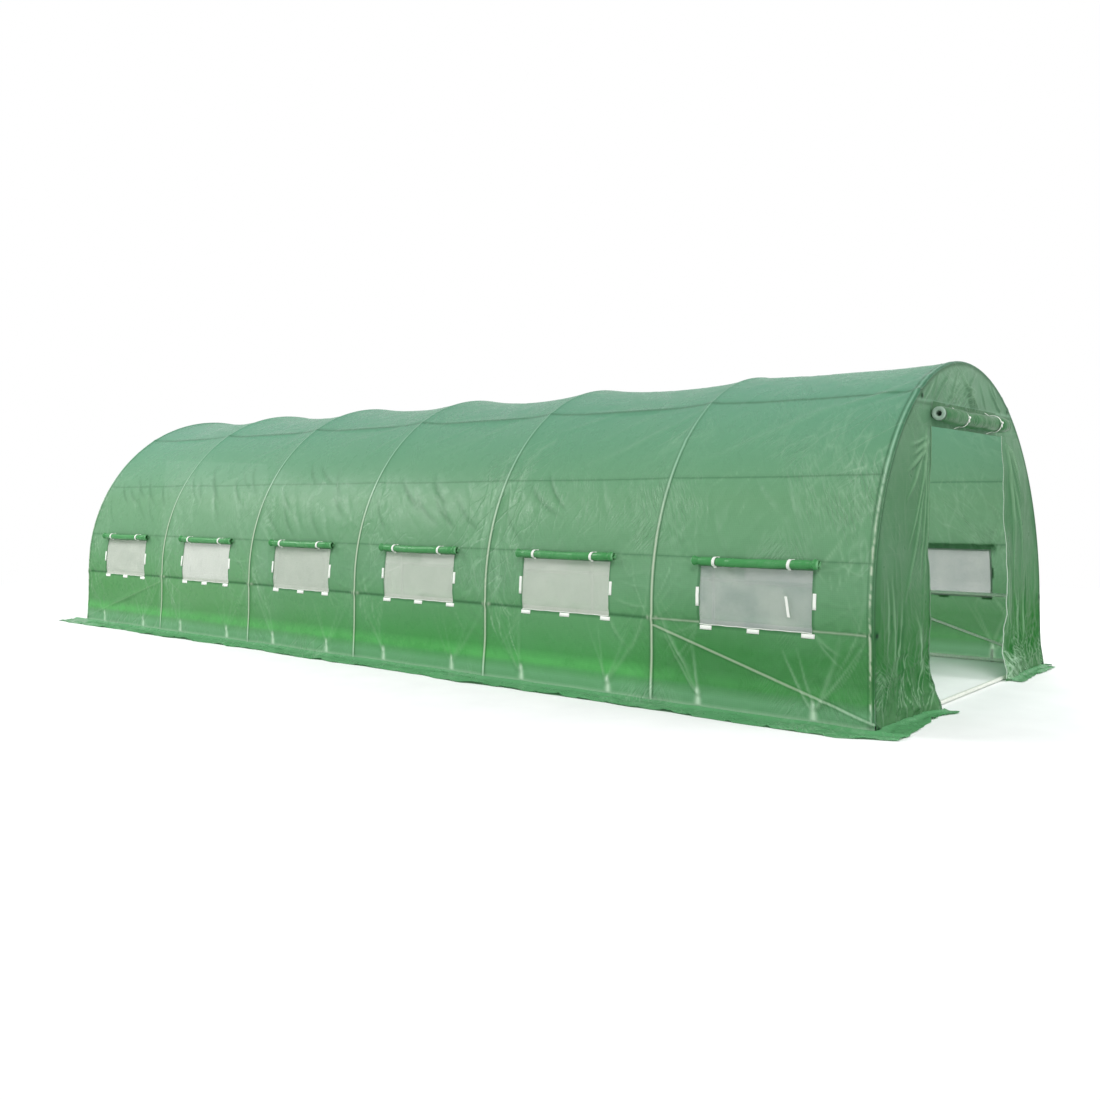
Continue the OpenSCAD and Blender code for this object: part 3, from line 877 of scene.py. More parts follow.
# Cover: five strips that share their lines along Y, so that they meet at the seams
Y_MARKS = list(HOOPS)
for hoop in HOOPS:
    Y_MARKS += [hoop + way * k for way in (-1, 1) for k in (0.005, 0.010, 0.015, 0.021, 0.03)]
for mid in MIDS:
    Y_MARKS += [mid + way * (WINDOW_W / 2 + k) for way in (-1, 1) for k in (0, 0.008, 0.02)]
Y_FINE = HOOPS[2] + 0.05
Y_LINES = np.union1d(lines(-SKIN_Y, Y_FINE, FRONT_GAP, Y_MARKS),
                     lines(Y_FINE, SKIN_Y, REAR_GAP, Y_MARKS))
WALL_MARKS = [H_SILL + k for k in (-0.014, -0.006, 0.006, 0.014)] + [0.012]
WALL_MARKS += [H_WIN[0] - 0.008, H_WIN[0], H_WIN[1], H_WIN[1] + 0.008, H_LOW - 0.008]
ROOF_MARKS = [H_HIGH + 0.009] + [H_ROOF + k for k in (-0.016, -0.007, 0.007, 0.016)]
ROOF_MARKS += [GIRTH - m for m in ROOF_MARKS]


def cover_touch(up, y, reach, front, last, high_up):
    """Where the cover is rubbed pale: on hoops, rails, straps and the front bay's purlin, with painted
    highlights on the lumps over the clamps beside each hoop at the sill.
    """
    rag = 0.15 + 0.85 * ramp(noise(up / 0.020, y / 0.009, 311) + 0.9 * ramp(up, 1.0, 1.6), -0.35, 0.35)
    touch = bell(reach, np.where(last, 0.0052, 0.0060)) * (1 - 0.78 * high_up) * np.where(last, rag, 1.0)
    touch = np.maximum(touch, 0.38 * bell(up - 0.024, 0.009) + 0 * y)
    wide = np.maximum(0.025 - 0.14 * up, 0.009)
    for mid in MIDS:
        for strap in STRAPS:
            tab = bell((y - mid - strap) / wide, 1.0) * ramp(up, 0.02, 0.032) * (1 - ramp(up, 0.10, 0.14))
            touch = np.maximum(touch, tab)
    # Painted highlights on the lumps over the clamps, each side of a hoop at the sill
    lump_highlight = bell(reach - 0.029, 0.010) * bell(up - H_SILL - 0.003, 0.012)
    return most(touch, np.where(last, 0.2, 0.5) * lump_highlight, 0.5 * bell(up - H_SILL, 0.0055) * front)


def cover_dark_and_shade(up, y, reach, gap, front, last, high_up):
    """Where the cover is dark: seams, hems and clamps, a painted shade of the purlins behind it, and painted
    shade beside the hoops.
    """
    beside = gap > WINDOW_W / 2 + 0.001
    in_hem = (gap < WINDOW_W / 2 + 0.014) & (up > H_WIN[0] - 0.014) & (up < H_WIN[1] + 0.014)
    joint = bell(reach, 0.02) * (bell(up - H_SILL, 0.018) + bell(up - 0.03, 0.018))
    off = y[..., None] - np.array(HOOPS)
    fore = np.min(np.where(off < 0, -off, 9), axis=2)
    shade = np.maximum(0.9 * bell(fore - 0.0135, 0.005), 0.5 * bell(reach - 0.0135, 0.005))
    # Painted shade: the sill and roof purlin lines, the shade beside each hoop and a dark strip inside the
    # end hoops; the seams, hems and turned edges are doubled film
    return most(bell(up - H_SILL, 0.010) * beside * np.where(front, 0.6, 0.9),
                0.75 * bell(up - H_ROOF, 0.013),
                0.55 * bell(up - H_LOW, 0.007),
                0.55 * bell(up - H_HIGH, 0.007),
                0.45 * in_hem,
                np.where(last, 1.2, 0.7) * joint,
                shade * (1 - 0.7 * high_up),
                0.9 * bell(np.abs(y) - HALF - 0.013, 0.006),
                0.8 * last * bell(np.abs(y) - HALF + 0.017, 0.007) * ramp(up, 0.8, 1.2))


def cover_marks(up, y, pale):
    """Where the cover touches tubes, lies double, has whitened or hangs loose, and where highlights and shade
    are painted on it.
    """
    reach = nearest(y, HOOPS)
    gap = nearest(y, MIDS)
    high_up = ramp(up, 1.1, 2.4)
    last = np.abs(y) > HALF - 0.2
    front = (y < STEP - HALF) * (y > 0.02 - HALF) * (gap > WINDOW_W / 2 + 0.001)
    touch = cover_touch(up, y, reach, front, last, high_up)
    dark_and_shade = cover_dark_and_shade(up, y, reach, gap, front, last, high_up)
    # Painted shade in the slanted hollows, where pale is below 0
    dark_and_shade = np.maximum(dark_and_shade, 0.8 * np.clip(-pale, 0, 0.6)) * (1 - touch)
    slack = 0.25 + 0.65 * bell(reach - 0.1, 0.16) * (1 - 0.6 * high_up)
    slack = np.maximum(slack, 0.8 * (1 - ramp(y, -3.1, -2.5)) * (1 - 0.5 * high_up))
    slack = slack * (1 - 0.5 * (1 - ramp(up, 0.3, 0.5)))
    slack = most(slack, 1.3 * (1 - ramp(y, -3.86, -3.5)) * ramp(up, 0.4, 0.55) * (1 - 0.6 * high_up),
                 1 - ramp(up, 0.05, 0.2))
    full = np.ones_like(up * y)
    return {"touch": touch * full, "dark_and_shade": dark_and_shade * full, "pale": np.clip(pale, 0, 1), "slack": slack * full}


def strip(name, node, low, high, gap, marks, side, windows=False):
    """One lengthwise strip of the cover between two girths."""
    s = girths(side, lines(low, high, gap, marks))
    pale = np.zeros((len(s), len(Y_LINES)))
    P = cover_points(s, Y_LINES, 0.0, pale)
    up = np.minimum(s, GIRTH - s)[:, None]
    y = Y_LINES[None]
    keep = None
    if windows:
        face_up, face_y = (up[:-1] + up[1:]) / 2, (y[:, :-1] + y[:, 1:]) / 2
        keep = ~((face_up > H_WIN[0]) & (face_up < H_WIN[1]) & (nearest(face_y, MIDS) < WINDOW_W / 2))
    ob = grid_object(name, P, points(s[:, None], y), COVER, keep=keep, marks=cover_marks(up, y, pale))
    dress(ob, node)


for side, word in SIDES:
    strip(f"{word}_wall_film", f"{word}_wall_sheet", 0.0, H_LOW, WALL_GAP, WALL_MARKS, side, True)
    strip(f"{word}_shoulder_film", f"{word}_shoulder_sheet", H_LOW, H_HIGH, SHOULDER_GAP,
          [H_LOW + 0.008, H_HIGH - 0.009], side)
strip("roof_film", "roof_sheet", H_HIGH, GIRTH - H_HIGH, ROOF_GAP, ROOF_MARKS, -1)


# End panels: a sheet each side of the doorway and a gable over it

def panel_folds():
    """Folds in an end panel: x, z of both ends, width and height."""
    out = []
    for side in (-1, 1):
        x0, z0 = side * (DOOR_W / 2 + 0.02), DOOR_TOP - 0.02
        # Fans from the top corner of the doorway out to the hoop, and down beside it
        for k in range(9):
            turn = math.radians(some(20, 85))
            span = some(0.25, 0.6) + 0.5 * (turn > 1.1)
            out.append((x0 + side * some(0, 0.04), z0 - some(0, 0.08), x0 + side * span * math.cos(turn),
                        z0 - span * math.sin(turn), some(0.007, 0.014), some(0.007, 0.014)))
        # Long hanging folds, and fans out of the foot
        for k in range(6):
            x = side * some(0.74, 1.36)
            z = some(0.5, 0.9)
            out.append((x, z, x + some(-0.12, 0.12), z - some(0.3, 0.48), some(0.012, 0.024),
                        some(-0.008, 0.008)))
        for k in range(18):
            x = side * some(0.72, 1.42)
            out.append((x, 0.02, x + some(-0.18, 0.18), some(0.12, 0.42), some(0.004, 0.011),
                        some(0.003, 0.008)))
        # Slanting folds across the gable, from the bar up to the arch
        for k in range(9):
            x = side * some(0.05, 0.8)
            z = some(1.73, 1.77)
            rise = some(0.1, 0.26)
            out.append((x, z, x - side * rise * some(0.8, 1.7), z + rise, some(0.007, 0.013),
                        some(0.008, 0.015)))
    return out


PANEL_FOLDS = {-1: panel_folds(), 1: panel_folds()}
SEEDS = {(-1, -1): 101, (1, -1): 201, (-1, 1): 301, (1, 1): 401}


def panel_fold(x, z, fold):
    """Distance from a fold's crest, and how much of the fold is left at its ends."""
    x0, z0, x1, z1, width, _ = fold
    span, t, off, past = along_fold(x - x0, z - z0, x1 - x0, z1 - z0)
    off = off + 0.05 * span * np.sin(np.clip(t, 0, 1) * 3.1)
    return off, bell(past, width) * np.sin(np.clip(t, 0.04, 0.96) * math.pi) ** 0.6


def from_arch(x, z, r):
    """Distance in from the rim of an end wall of radius r."""
    return r - np.where(z < LEG, np.abs(x), np.hypot(x, z - LEG))


def panel_offset(x, z, end, seed):
    """How far an end panel stands out from its flat, away from the tunnel."""
    edge = from_arch(x, z, COVER_R)
    free = ramp(edge, 0.012, 0.08)
    by_door = np.abs(x) - DOOR_W / 2
    broad = 0.010 * noise(x / 0.5, z / 0.6, seed)
    d = -0.0015 + free * (broad + 0.010 * (creases(x / 0.26, z / 0.4 + x, seed + 3, 2) - 0.4))
    small = creases(x / 0.09, z / 0.16 - x, seed + 9, 2) - 0.4
    d = d + free * (0.003 + 0.008 * (1 - ramp(z, 0.3, 0.7))) * small
    crush = creases(x / 0.12 + z, z / 0.10 - x, seed + 12, 2) - 0.35
    d = d + free * 0.020 * (1 - ramp(z, 0.1, 0.5)) * crush
    for fold in PANEL_FOLDS[end]:
        off, keep = panel_fold(x, z, fold)
        d = d + free * fold[5] * bell(off, fold[4]) * keep
    door = bell(by_door, 0.10) * (1 - ramp(z, DOOR_TOP - 0.2, DOOR_TOP))
    d = d + door * (0.016 * noise(z / 0.28, 0 * x, seed + 15) + 0.006 * noise(z / 0.1, 0 * x, seed + 21))
    foot = 1 - ramp(z, 0.0, 0.22)
    d = d + foot * (0.012 + 0.012 * noise(x / 0.14, 0 * z, seed + 27) + 0.04 * bell(by_door, 0.12))
    # Held out by the bars behind it, with lumps over the tube ends
    floor = -0.004 - 0.01 * free
    for away in (np.abs(z - HEADER_Z) - 0.012, np.abs(z - RAIL_Z) - 0.012, edge - 0.03):
        floor = np.maximum(floor, -0.0042 - 0.2 * np.maximum(0, away))
    for cx, cz in CAP_SPOTS:
        off = np.hypot(np.abs(x) - cx, z - cz)
        d = d + 0.005 * bell(off, 0.022)
        floor = np.maximum(floor, 0.0005 - 0.25 * np.maximum(0, off - 0.015))
    return np.maximum(d, floor)


def panel_marks(x, z, end):
    """Where an end panel is doubled along its rim, lies on the bar or over a tube end, with painted shade
    under the bar, and painted highlights on its fold crests with painted shade beside them.
    """
    # Painted shade under the header bar
    shade_under_bar = 0.5 * bell(z - HEADER_Z + 0.0122, 0.010)
    dark_and_shade = np.maximum(0.85 * bell(from_arch(x, z, RIM_R) - 0.010, 0.012), shade_under_bar)
    for cx, cz in CAP_SPOTS:
        dark_and_shade = np.maximum(dark_and_shade, 1.9 * bell(np.hypot(np.abs(x) - cx - 0.006, z - cz), 0.018))
    by_door = np.abs(x) - DOOR_W / 2
    pale = 0.9 * bell(by_door + 0.012, 0.012) * (1 - ramp(z, 0.6, 1.3)) * (x > 0)
    pale = pale + 0.3 * (1 - ramp(z, 0.03, 0.2))
    low = 1 - ramp(z, 0.25, 0.5)
    # Painted highlight on each fold's crest, stronger at the foot, and painted shade beside it
    for fold in PANEL_FOLDS[end]:
        off, keep = panel_fold(x, z, fold)
        pale = pale + (0.55 + 0.5 * low) * bell(off - 0.5 * fold[4], 0.5 * fold[4]) * keep
        dark_and_shade = np.maximum(dark_and_shade, 0.5 * bell(off + 0.9 * fold[4], 0.6 * fold[4]) * keep)
    slack = 0.3 + 2.1 * (1 - ramp(z, 0.12, 0.42)) + 0.5 * ramp(z, 1.5, 1.7)
    touch = 0.22 * bell(z - HEADER_Z - 0.0058, 0.008)
    return {"touch": touch, "dark_and_shade": dark_and_shade, "pale": np.clip(pale, 0, 1), "slack": slack}


def door_edge(z, seed, side):
    """Where the doorway's edge lies: the left one is drawn back, the right one swings in at the foot."""
    x = DOOR_W / 2 + 0.010 * wave(z / 0.35, seed) - 0.03 * ramp(z, 1.1, 1.6)
    low = 1 - ramp(z, 0.0, 0.4)
    if side < 0:
        return x + 0.045 * bell(z - 0.55, 0.45) + 0.01 * low
    return x - 0.012 - 0.05 * low


def arch_x(z, r):
    return np.where(z < LEG, r, np.sqrt(np.maximum(r * r - np.maximum(z - LEG, 0) ** 2, 0)))


def end_sheet(name, node, x, z, end, seed, flip):
    """One sheet of an end wall, from its grid across and up."""
    x, z = np.broadcast_arrays(x, z)
    P = points(x, end * (SKIN_Y + panel_offset(x, z, end, seed)), z)
    ob = grid_object(name, P, points(x, z), PANEL, flip=flip, marks=panel_marks(x, z, end))
    dress(ob, node)
    return ob


def end_panels(end, word):
    z = lines(0.004, DOOR_TOP, PANEL_GAP)
    t = np.linspace(0, 1, 84)
    for side, hand in SIDES:
        seed = SEEDS[side, end]
        inner = door_edge(z, seed + 40, side)
        x = side * (arch_x(z, RIM_R)[:, None] * (1 - t) + inner[:, None] * t)
        ob = end_sheet(f"{word}_{hand}_film", f"{word}_{hand}_panel", x, z[:, None], end, seed,
                       side * end < 0)
    half = float(arch_x(np.array(DOOR_TOP), RIM_R))
    a = np.linspace(-1, 1, 201)
    x = half * np.sign(a) * (1 - (1 - np.abs(a)) ** 1.25) * 0.9985
    top = LEG + np.sqrt(RIM_R ** 2 - x ** 2)
    z = DOOR_TOP + (top[None] - DOOR_TOP) * np.linspace(0, 1, 44)[:, None]
    ob = end_sheet(f"{word}_gable_film", f"{word}_gable_panel", x, z, end, SEEDS[-1, end] + 50, end > 0)


for end, word in ENDS:
    end_panels(end, word)


# Skirts on the ground

def ground_height(w, along, seed):
    """Height of a skirt over the ground at a distance w out from the wall."""
    ripple = np.maximum(0, noise(along / 0.16, w / 0.12, seed)) * 0.015
    ripple = ripple + np.maximum(0, creases(along / 0.09, w / 0.12 + along, seed + 5, 2) - 0.35) * 0.024
    return 0.0025 + ripple * ramp(w, 0.01, 0.07) + 0.016 * bell(w, 0.024)


def side_skirt(side, word):
    seed = 611 if side < 0 else 711
    reach = (FACE_Y + SKIRT_W * 0.7, FACE_Y + SKIRT_W) if side < 0 else (FACE_Y + SKIRT_W * 0.3,) * 2
    y = lines(-reach[0], reach[1], SIDE_SKIRT_GAP)
    tips = np.clip((-y - FACE_Y + SKIRT_W * 0.5) / (SKIRT_W * 1.2), 0, 1)
    width = SKIRT_W * (0.93 + 0.07 * wave(y / 0.6, seed) + 0.04 * wave(y / 0.16, seed + 3)) * (1 - 0.6 * tips)
    if side > 0:
        width = width * (1 - 0.65 * ramp(np.abs(y), 3.3, 3.9))
    foot = cover_offset(np.array([0.0 if side < 0 else GIRTH]), np.clip(y, -SKIN_Y, SKIN_Y))[0]
    foot = np.where(np.abs(y) > SKIN_Y, 0.0, foot)
    out = (np.linspace(0, 1, 15) ** 0.9)[:, None] * width[None]
    P = points(side * (SKIN_R + foot[None] + out), y, ground_height(out, y[None], seed))
    ob = grid_object(f"{word}_skirt_film", P, points(out, y), SKIRT, flip=side > 0)
    dress(ob, f"{word}_skirt")


def end_skirts(end, word):
    x = lines(DOOR_W / 2 - 0.03, COVER_R, END_SKIRT_GAP)
    w = np.linspace(0, 1, 13)[:, None]
    for side, hand in SIDES:
        seed = 811 + 7 * side + 31 * end
        width = SKIRT_W * (0.90 + 0.10 * wave(x / 0.3, seed) + 0.05 * wave(x / 0.09, seed + 2))
        width = width * (0.42 + (0.30 if side < 0 else 0.03) * ramp(x, DOOR_W / 2, COVER_R))
        base = panel_offset(side * x, 0 * x + 0.004, end, SEEDS[side, end])
        base = np.where(x > RIM_R, 0.0, base)
        out = w * width[None]
        X = side * x[None] + side * 0.015 * wave(out / 0.08, seed + 4) * w
        P = points(X, end * (SKIN_Y + base[None] + out), ground_height(out, X, seed))
        ob = grid_object(f"{word}_{hand}_skirt_film", P, points(X, out), SKIRT, flip=side * end > 0)
        dress(ob, f"{word}_skirts")


for side, word in SIDES:
    side_skirt(side, word)
for end, word in ENDS:
    end_skirts(end, word)

# Window nets, rolled flaps, ties and tabs
tabs = Heap()
ties = Heap()


def on_cover(side, h, y, lift):
    """Points on the cover for pairs of a height up the wall and a place along it."""
    s = h if side < 0 else GIRTH - h
    d = np.array([cover_offset(np.array([a]), np.array([b]))[0, 0] for a, b in zip(s, y)]) + lift
    return off_arch(s, y, d)


def patch(heap, side, h0, h1, y0, y1, lift, rows=3, cols=6):
    """A small flat tab that lies on the cover, with its edges turned down."""
    y = np.linspace(y0, y1, cols)
    s = girths(side, np.linspace(h0, h1, rows))
    full = np.pad(cover_points(s, y, lift), ((1, 1), (1, 1), (0, 0)), mode="edge")
    under = np.pad(cover_points(s, y, lift - 0.0022), ((1, 1), (1, 1), (0, 0)), mode="edge")
    for rim in (0, -1):
        full[rim], full[:, rim] = under[rim], under[:, rim]
    heap.grid(full)


def tie_loop(middle, low, ring, turn, count, top, foot):
    """A tie round a roll, as places out and up; top and foot say how far out it ends and the step there."""
    ang = np.linspace(turn * math.pi, -turn * math.pi, count)
    v = low + ring * np.sin(ang)
    u = np.concatenate([[top[0]], middle + ring * np.cos(ang), [foot[0]]])
    return u, np.concatenate([[v[0] + top[1]], v, [v[-1] - foot[1]]])


def window_net(side, word, bay, seed):
    """The net, sewn behind the opening."""
    mid = MIDS[bay]
    y = lines(mid - WINDOW_W / 2 - NET_HEM, mid + WINDOW_W / 2 + NET_HEM, NET_GAPS[1])
    s = girths(side, lines(H_WIN[0] - NET_HEM, H_WIN[1] + NET_HEM, NET_GAPS[0]))
    h = np.minimum(s, GIRTH - s)[:, None]
    inside = ramp(WINDOW_W / 2 - np.abs(y[None] - mid), 0, 0.08)
    inside = inside * ramp(np.minimum(h - H_WIN[0], H_WIN[1] - h), 0, 0.06)
    d = -0.010 + 0.005 * noise(h / 0.12, y[None] / 0.09, seed) * inside - 0.004 * inside
    d = d + 0.003 * (creases(h / 0.2, y[None] / 0.1 + h, seed + 2, 2) - 0.4) * inside
    d = d * inside + (cover_offset(s, y) - 0.003) * (1 - inside)
    net = grid_object(f"{word}_net_{bay + 1}", off_arch(s[:, None], y, d), points(s[:, None], y), NET)
    dress(net, f"{word}_window_nets")


def flap_shape(from_mid, y, seed):
    """How far a rolled flap's ends are along y, how much it swells and how far it droops."""
    from_end = FLAP_LEN / 2 - np.abs(from_mid)
    swell = 1 + 0.05 * wave(y / 0.11, seed + 5) + 0.20 * bell(from_end - 0.017, 0.010)
    swell = swell - 0.16 * bell(from_end - 0.042, 0.014) - 0.12 * bell(from_end, 0.006)
    for tie in FLAP_TIES:
        swell = swell - 0.13 * bell(from_mid - tie, 0.016)
    droop = -0.005 * np.sin(np.clip(from_mid / FLAP_LEN + 0.5, 0, 1) * math.pi)
    return from_end, swell + 0.06, droop + 0.002 * wave(y / 0.2, seed + 6)


def window_flap(side, word, bay, seed):
    """The flap, rolled up under the seam, with two ties round it."""
    mid = MIDS[bay]
    h_roll = girth_of(FLAP_Z)
    s_roll = np.array([h_roll if side < 0 else GIRTH - h_roll])
    r0 = FLAP_D / 2
    y = mid + FLAP_LEN / 2 * np.sin(np.linspace(-1, 1, 62) * math.pi / 2)
    xr, zr, nx, nz = (float(a[0]) for a in section(s_roll))
    base = cover_offset(s_roll, y)[0]
    from_end, swell, droop = flap_shape(y - mid, y, seed)
    a = np.linspace(0, FLAP_TURNS * 2 * math.pi, int(FLAP_TURNS * 26))
    radius = r0 - FLAP_PITCH * a / (2 * math.pi)
    tail = np.linspace(H_LOW - h_roll, 0.004, TAIL_ROWS)
    u = np.concatenate([0 * tail, r0 - radius * np.cos(a)])
    v = np.concatenate([tail, -radius * np.sin(a)])
    rolled = np.concatenate([0 * tail, np.ones(len(a))])[:, None]
    scale = np.where(rolled > 0, swell[None], 1)
    U = (u[:, None] - r0) * scale + r0
    V = v[:, None] * scale + droop[None] * rolled
    U[TAIL_ROWS:] += 0.0012 * noise(a[:, None] * 1.3, y[None] / 0.05, seed + 7) + r0 * (swell[None] - 1)
    U = U + base[None] + FLAP_LIFT

    def across(out, up):
        """x and z at a distance out from the arch and up along it."""
        return nx * out - side * nz * up, nz * out + abs(nx) * up

    dx, dz = across(U, V)
    X, Z = xr + dx, zr + dz
    # The tail lies on the cover up to the seam
    s_tail = h_roll + tail if side < 0 else GIRTH - h_roll - tail
    for k in range(TAIL_ROWS):
        row = cover_points(s_tail[k:k + 1], y, 0.0035 if k else 0.002)[0]
        X[k], Z[k] = row[:, 0], row[:, 2]
    uv = points(run_along(points(u, v))[:, None], y)
    frayed = np.broadcast_to(0.7 * bell(from_end, 0.005), X.shape)
    flap = grid_object(f"{word}_flap_{bay + 1}", points(X, y, Z), uv, FLAP, flip=side > 0,
                       marks={"lining": frayed})
    dress(flap, f"{word}_window_rolls")

    for tie in FLAP_TIES:
        out, size, low = (float(np.interp(mid + tie, y, row)) for row in (base, swell, droop))
        out = out + FLAP_LIFT
        u, v = tie_loop(out + r0 * size, low, r0 * size + 0.0022, 0.62, 22,
                        (out + 0.004, 0.006), (out + 0.002, 0.008))
        slant = np.linspace(-0.009, 0.009, len(u)) * (1 if tie < 0 else 0.7)
        dx, dz = across(u, v)
        nu, nv = across(*left_of(u, v))
        path = points(xr + dx, mid + tie + slant, zr + dz)
        ties.ribbon(path, ALONG, *FLAP_TIE, points(nu, 0, nv))


def window_tabs(side, bay):
    """Hook and loop tabs round a window, and a white edge along its sill."""
    mid = MIDS[bay]
    sill = H_WIN[0] - 0.006
    for k in (-WINDOW_W / 2 + 0.03, 0.0, WINDOW_W / 2 - 0.03):
        shift = some(-0.012, 0.012)
        ends = (mid + k - SILL_TAB[0] / 2 + shift, mid + k + SILL_TAB[0] / 2 + shift)
        patch(tabs, side, sill - SILL_TAB[1], sill, *ends, 0.0028)
    middle = (H_WIN[0] + H_WIN[1]) / 2
    for way in (-1, 1):
        edge = mid + way * (WINDOW_W / 2 + 0.014)
        ends = (edge - SIDE_TAB_W / 2, edge + SIDE_TAB_W / 2)
        patch(tabs, side, middle - 0.05 + some(-0.02, 0.02), middle + 0.045, *ends, 0.0030, 6, 3)
    y = np.linspace(mid - WINDOW_W / 2, mid + WINDOW_W / 2, 24)
    tabs.tube(on_cover(side, H_WIN[0] - 0.001 + 0.001 * np.sin(y * 50), y, 0.0015), 0.0024, 6)


for side, word in SIDES:
    for bay in range(BAYS):
        seed = 900 + bay * 13 + (0 if side < 0 else 200)
        window_net(side, word, bay, seed)
        window_flap(side, word, bay, seed)
        window_tabs(side, bay)
        if side < 0 and bay == 0:
            # A loose strip that hangs on the net of the first window
            z = WINDOW_Z[0] + np.linspace(0.075, 0.187, 7)
            y = MIDS[0] - 0.205 + 0.008 * np.linspace(-1, 1, 7)
            tabs.ribbon(points(0.004 - SKIN_R, y, z), ALONG, *LOOSE_STRIP, np.array([[-1.0, 0.0, 0.0]]))
dress(tabs.object("window_trim", WHITE), "window_tabs")


# Doors: rolled up over each doorway, with ties and zips

# Smallest and largest turn that shows at a roll's ends, and how many show
TURN_R, TURNS_SEEN = (0.0165, 0.0395), 13


def door_rings(end, word, spots):
    """The turns' pale edges at each end of a roll, round a hollow middle."""
    rings = Heap()
    ang = np.linspace(0, 2 * math.pi, 41)
    size = np.linspace(*TURN_R, TURNS_SEEN)
    bulge = 0.010 * np.sqrt(1 - ((size - 0.028) / 0.0125) ** 2) + 0.0012 * (np.arange(TURNS_SEEN) % 2)
    size = np.concatenate([[0.016, 0.016], size, [0.040]])[:, None]
    bulge = np.concatenate([[-0.10, -0.003], bulge, [-0.014]])[:, None]
    for way, (x, out, up) in zip((-1, 1), spots):
        ring = points(x + way * bulge, end * (out + size * np.cos(ang)), up + size * np.sin(ang))
        rings.grid(ring, flip=way * end < 0)
    dress(rings.object(f"{word}_door_edges", EDGE), f"{word}_door_roll")


def door_tie(end, tie, size, low):
    """A tie round a door roll, with a knot on its face and two short ends."""
    u, v = tie_loop(DOOR_TAIL + size, low, size * 1.05 + 0.003, 0.6, 30, (0.008, 0.02), (0.003, 0.01))
    x = tie + DOOR_SHIFT + np.linspace(-0.03, 0.012, len(u))
    path = points(x, end * (DOOR_FACE + u), DOOR_Z + v)
    nu, nv = left_of(u, v)
    outward = points(0, end * nu, nv)
    ties.ribbon(path, ACROSS, *DOOR_TIE, outward)
    knot = path[15] + outward[15] * 0.004
    bead = knot + np.linspace(-0.009, 0.009, 7)[:, None] * np.array([[0.8, 0, 0.6]])
    ties.tube(bead, 0.0075 * np.sqrt(1 - np.linspace(-0.95, 0.95, 7) ** 2) + 0.001, 10)
    t = np.linspace(0, 1, 8)[:, None]
    for way, length in ((-1, 0.018), (1, 0.028)):
        hang = t * np.array([[way * 0.35 * length, 0, -length]]) + t * t * np.array([[0, -end * 0.004, 0]])
        ties.ribbon(knot + hang, ACROSS, *TIE_END, np.array([[0.0, end, 0.0]]))


def door_shape(x, seed):
    """How far a rolled door's ends are along x, how much it swells and how far it droops."""
    from_end = DOOR_LEN / 2 - np.abs(x)
    swell = 0.90 + 0.06 * wave(x / 0.16, seed) + 0.03 * wave(x / 0.05, seed + 1)
    swell = swell - 0.12 * bell(from_end, 0.05)
    for tie in DOOR_TIES:
        swell = swell - 0.12 * bell(x - tie, 0.03)
    droop = -0.008 * np.sin((x / DOOR_LEN + 0.5) * math.pi) + 0.005 * wave(x / 0.3, seed + 2)
    return from_end, swell, droop


def door_roll(end, word):
    seed = 1300 if end < 0 else 1400
    r0 = DOOR_D / 2
    x = DOOR_LEN / 2 * np.sin(np.linspace(-1, 1, 90) * math.pi / 2)
    from_end, swell, droop = door_shape(x, seed)
    a = np.linspace(0, DOOR_TURNS * 2 * math.pi, int(DOOR_TURNS * 30))
    deep = a / a[-1]
    radius = r0 - DOOR_PITCH * a / (2 * math.pi)
    squash = 1 + 0.05 * np.cos(2 * a[:, None] + 0.6 + 2 * noise(x[None] / 0.3, 0 * a[:, None], seed + 3))
    wobble = 0.0022 * noise(a[:, None] * 0.9, x[None] / 0.07, seed + 4) * (1 - deep[:, None])
    U = r0 * swell[None] - (radius * np.cos(a))[:, None] * swell[None] * squash + wobble
    V = -(radius * np.sin(a))[:, None] * swell[None] * squash + droop[None] + wobble
    U = U - U[:1] + DOOR_TAIL
    tail = np.linspace(0.078, 0.006, TAIL_ROWS)
    U = np.concatenate([np.full((TAIL_ROWS, len(x)), DOOR_TAIL), U])
    V = np.concatenate([np.repeat(tail[:, None], len(x), 1), V])
    deep = np.concatenate([0 * tail, deep])[:, None]
    # The inner turns stop short at the ends, behind the pale rings
    way = np.sign(x)[None]
    rows = np.linspace(0, 9, len(U))[:, None]
    push = -0.012 * ramp(deep, 0.08, 0.22) * bell(from_end, 0.06)[None] * way
    push = push + 0.004 * noise(rows, way * 3, seed + 5) * bell(from_end, 0.04)[None]
    X = x[None] + push + DOOR_SHIFT
    run = np.concatenate([np.linspace(0, 0.072, TAIL_ROWS), 0.075 + np.cumsum(radius) * (a[1] - a[0])])
    lining = ramp(deep, 0.09, 0.16) * np.ones_like(X)
    P = points(X, end * (DOOR_FACE + U), DOOR_Z + V)
    ob = grid_object(f"{word}_door_film", P, points(run[:, None], X), DOOR, flip=end < 0,
                     marks={"lining": lining})
    dress(ob, f"{word}_door_roll")
    turn = slice(TAIL_ROWS, TAIL_ROWS + 30)
    door_rings(end, word, [(x[k] + DOOR_SHIFT, DOOR_FACE + U[turn, k].mean(), DOOR_Z + V[turn, k].mean())
                           for k in (0, -1)])
    for tie in DOOR_TIES:
        k = int(np.argmin(np.abs(x - tie)))
        door_tie(end, tie, r0 * float(swell[k]), float(droop[k]))


for end, word in ENDS:
    door_roll(end, word)
dress(ties.object("roll_tie_bands", WHITE), "roll_ties")

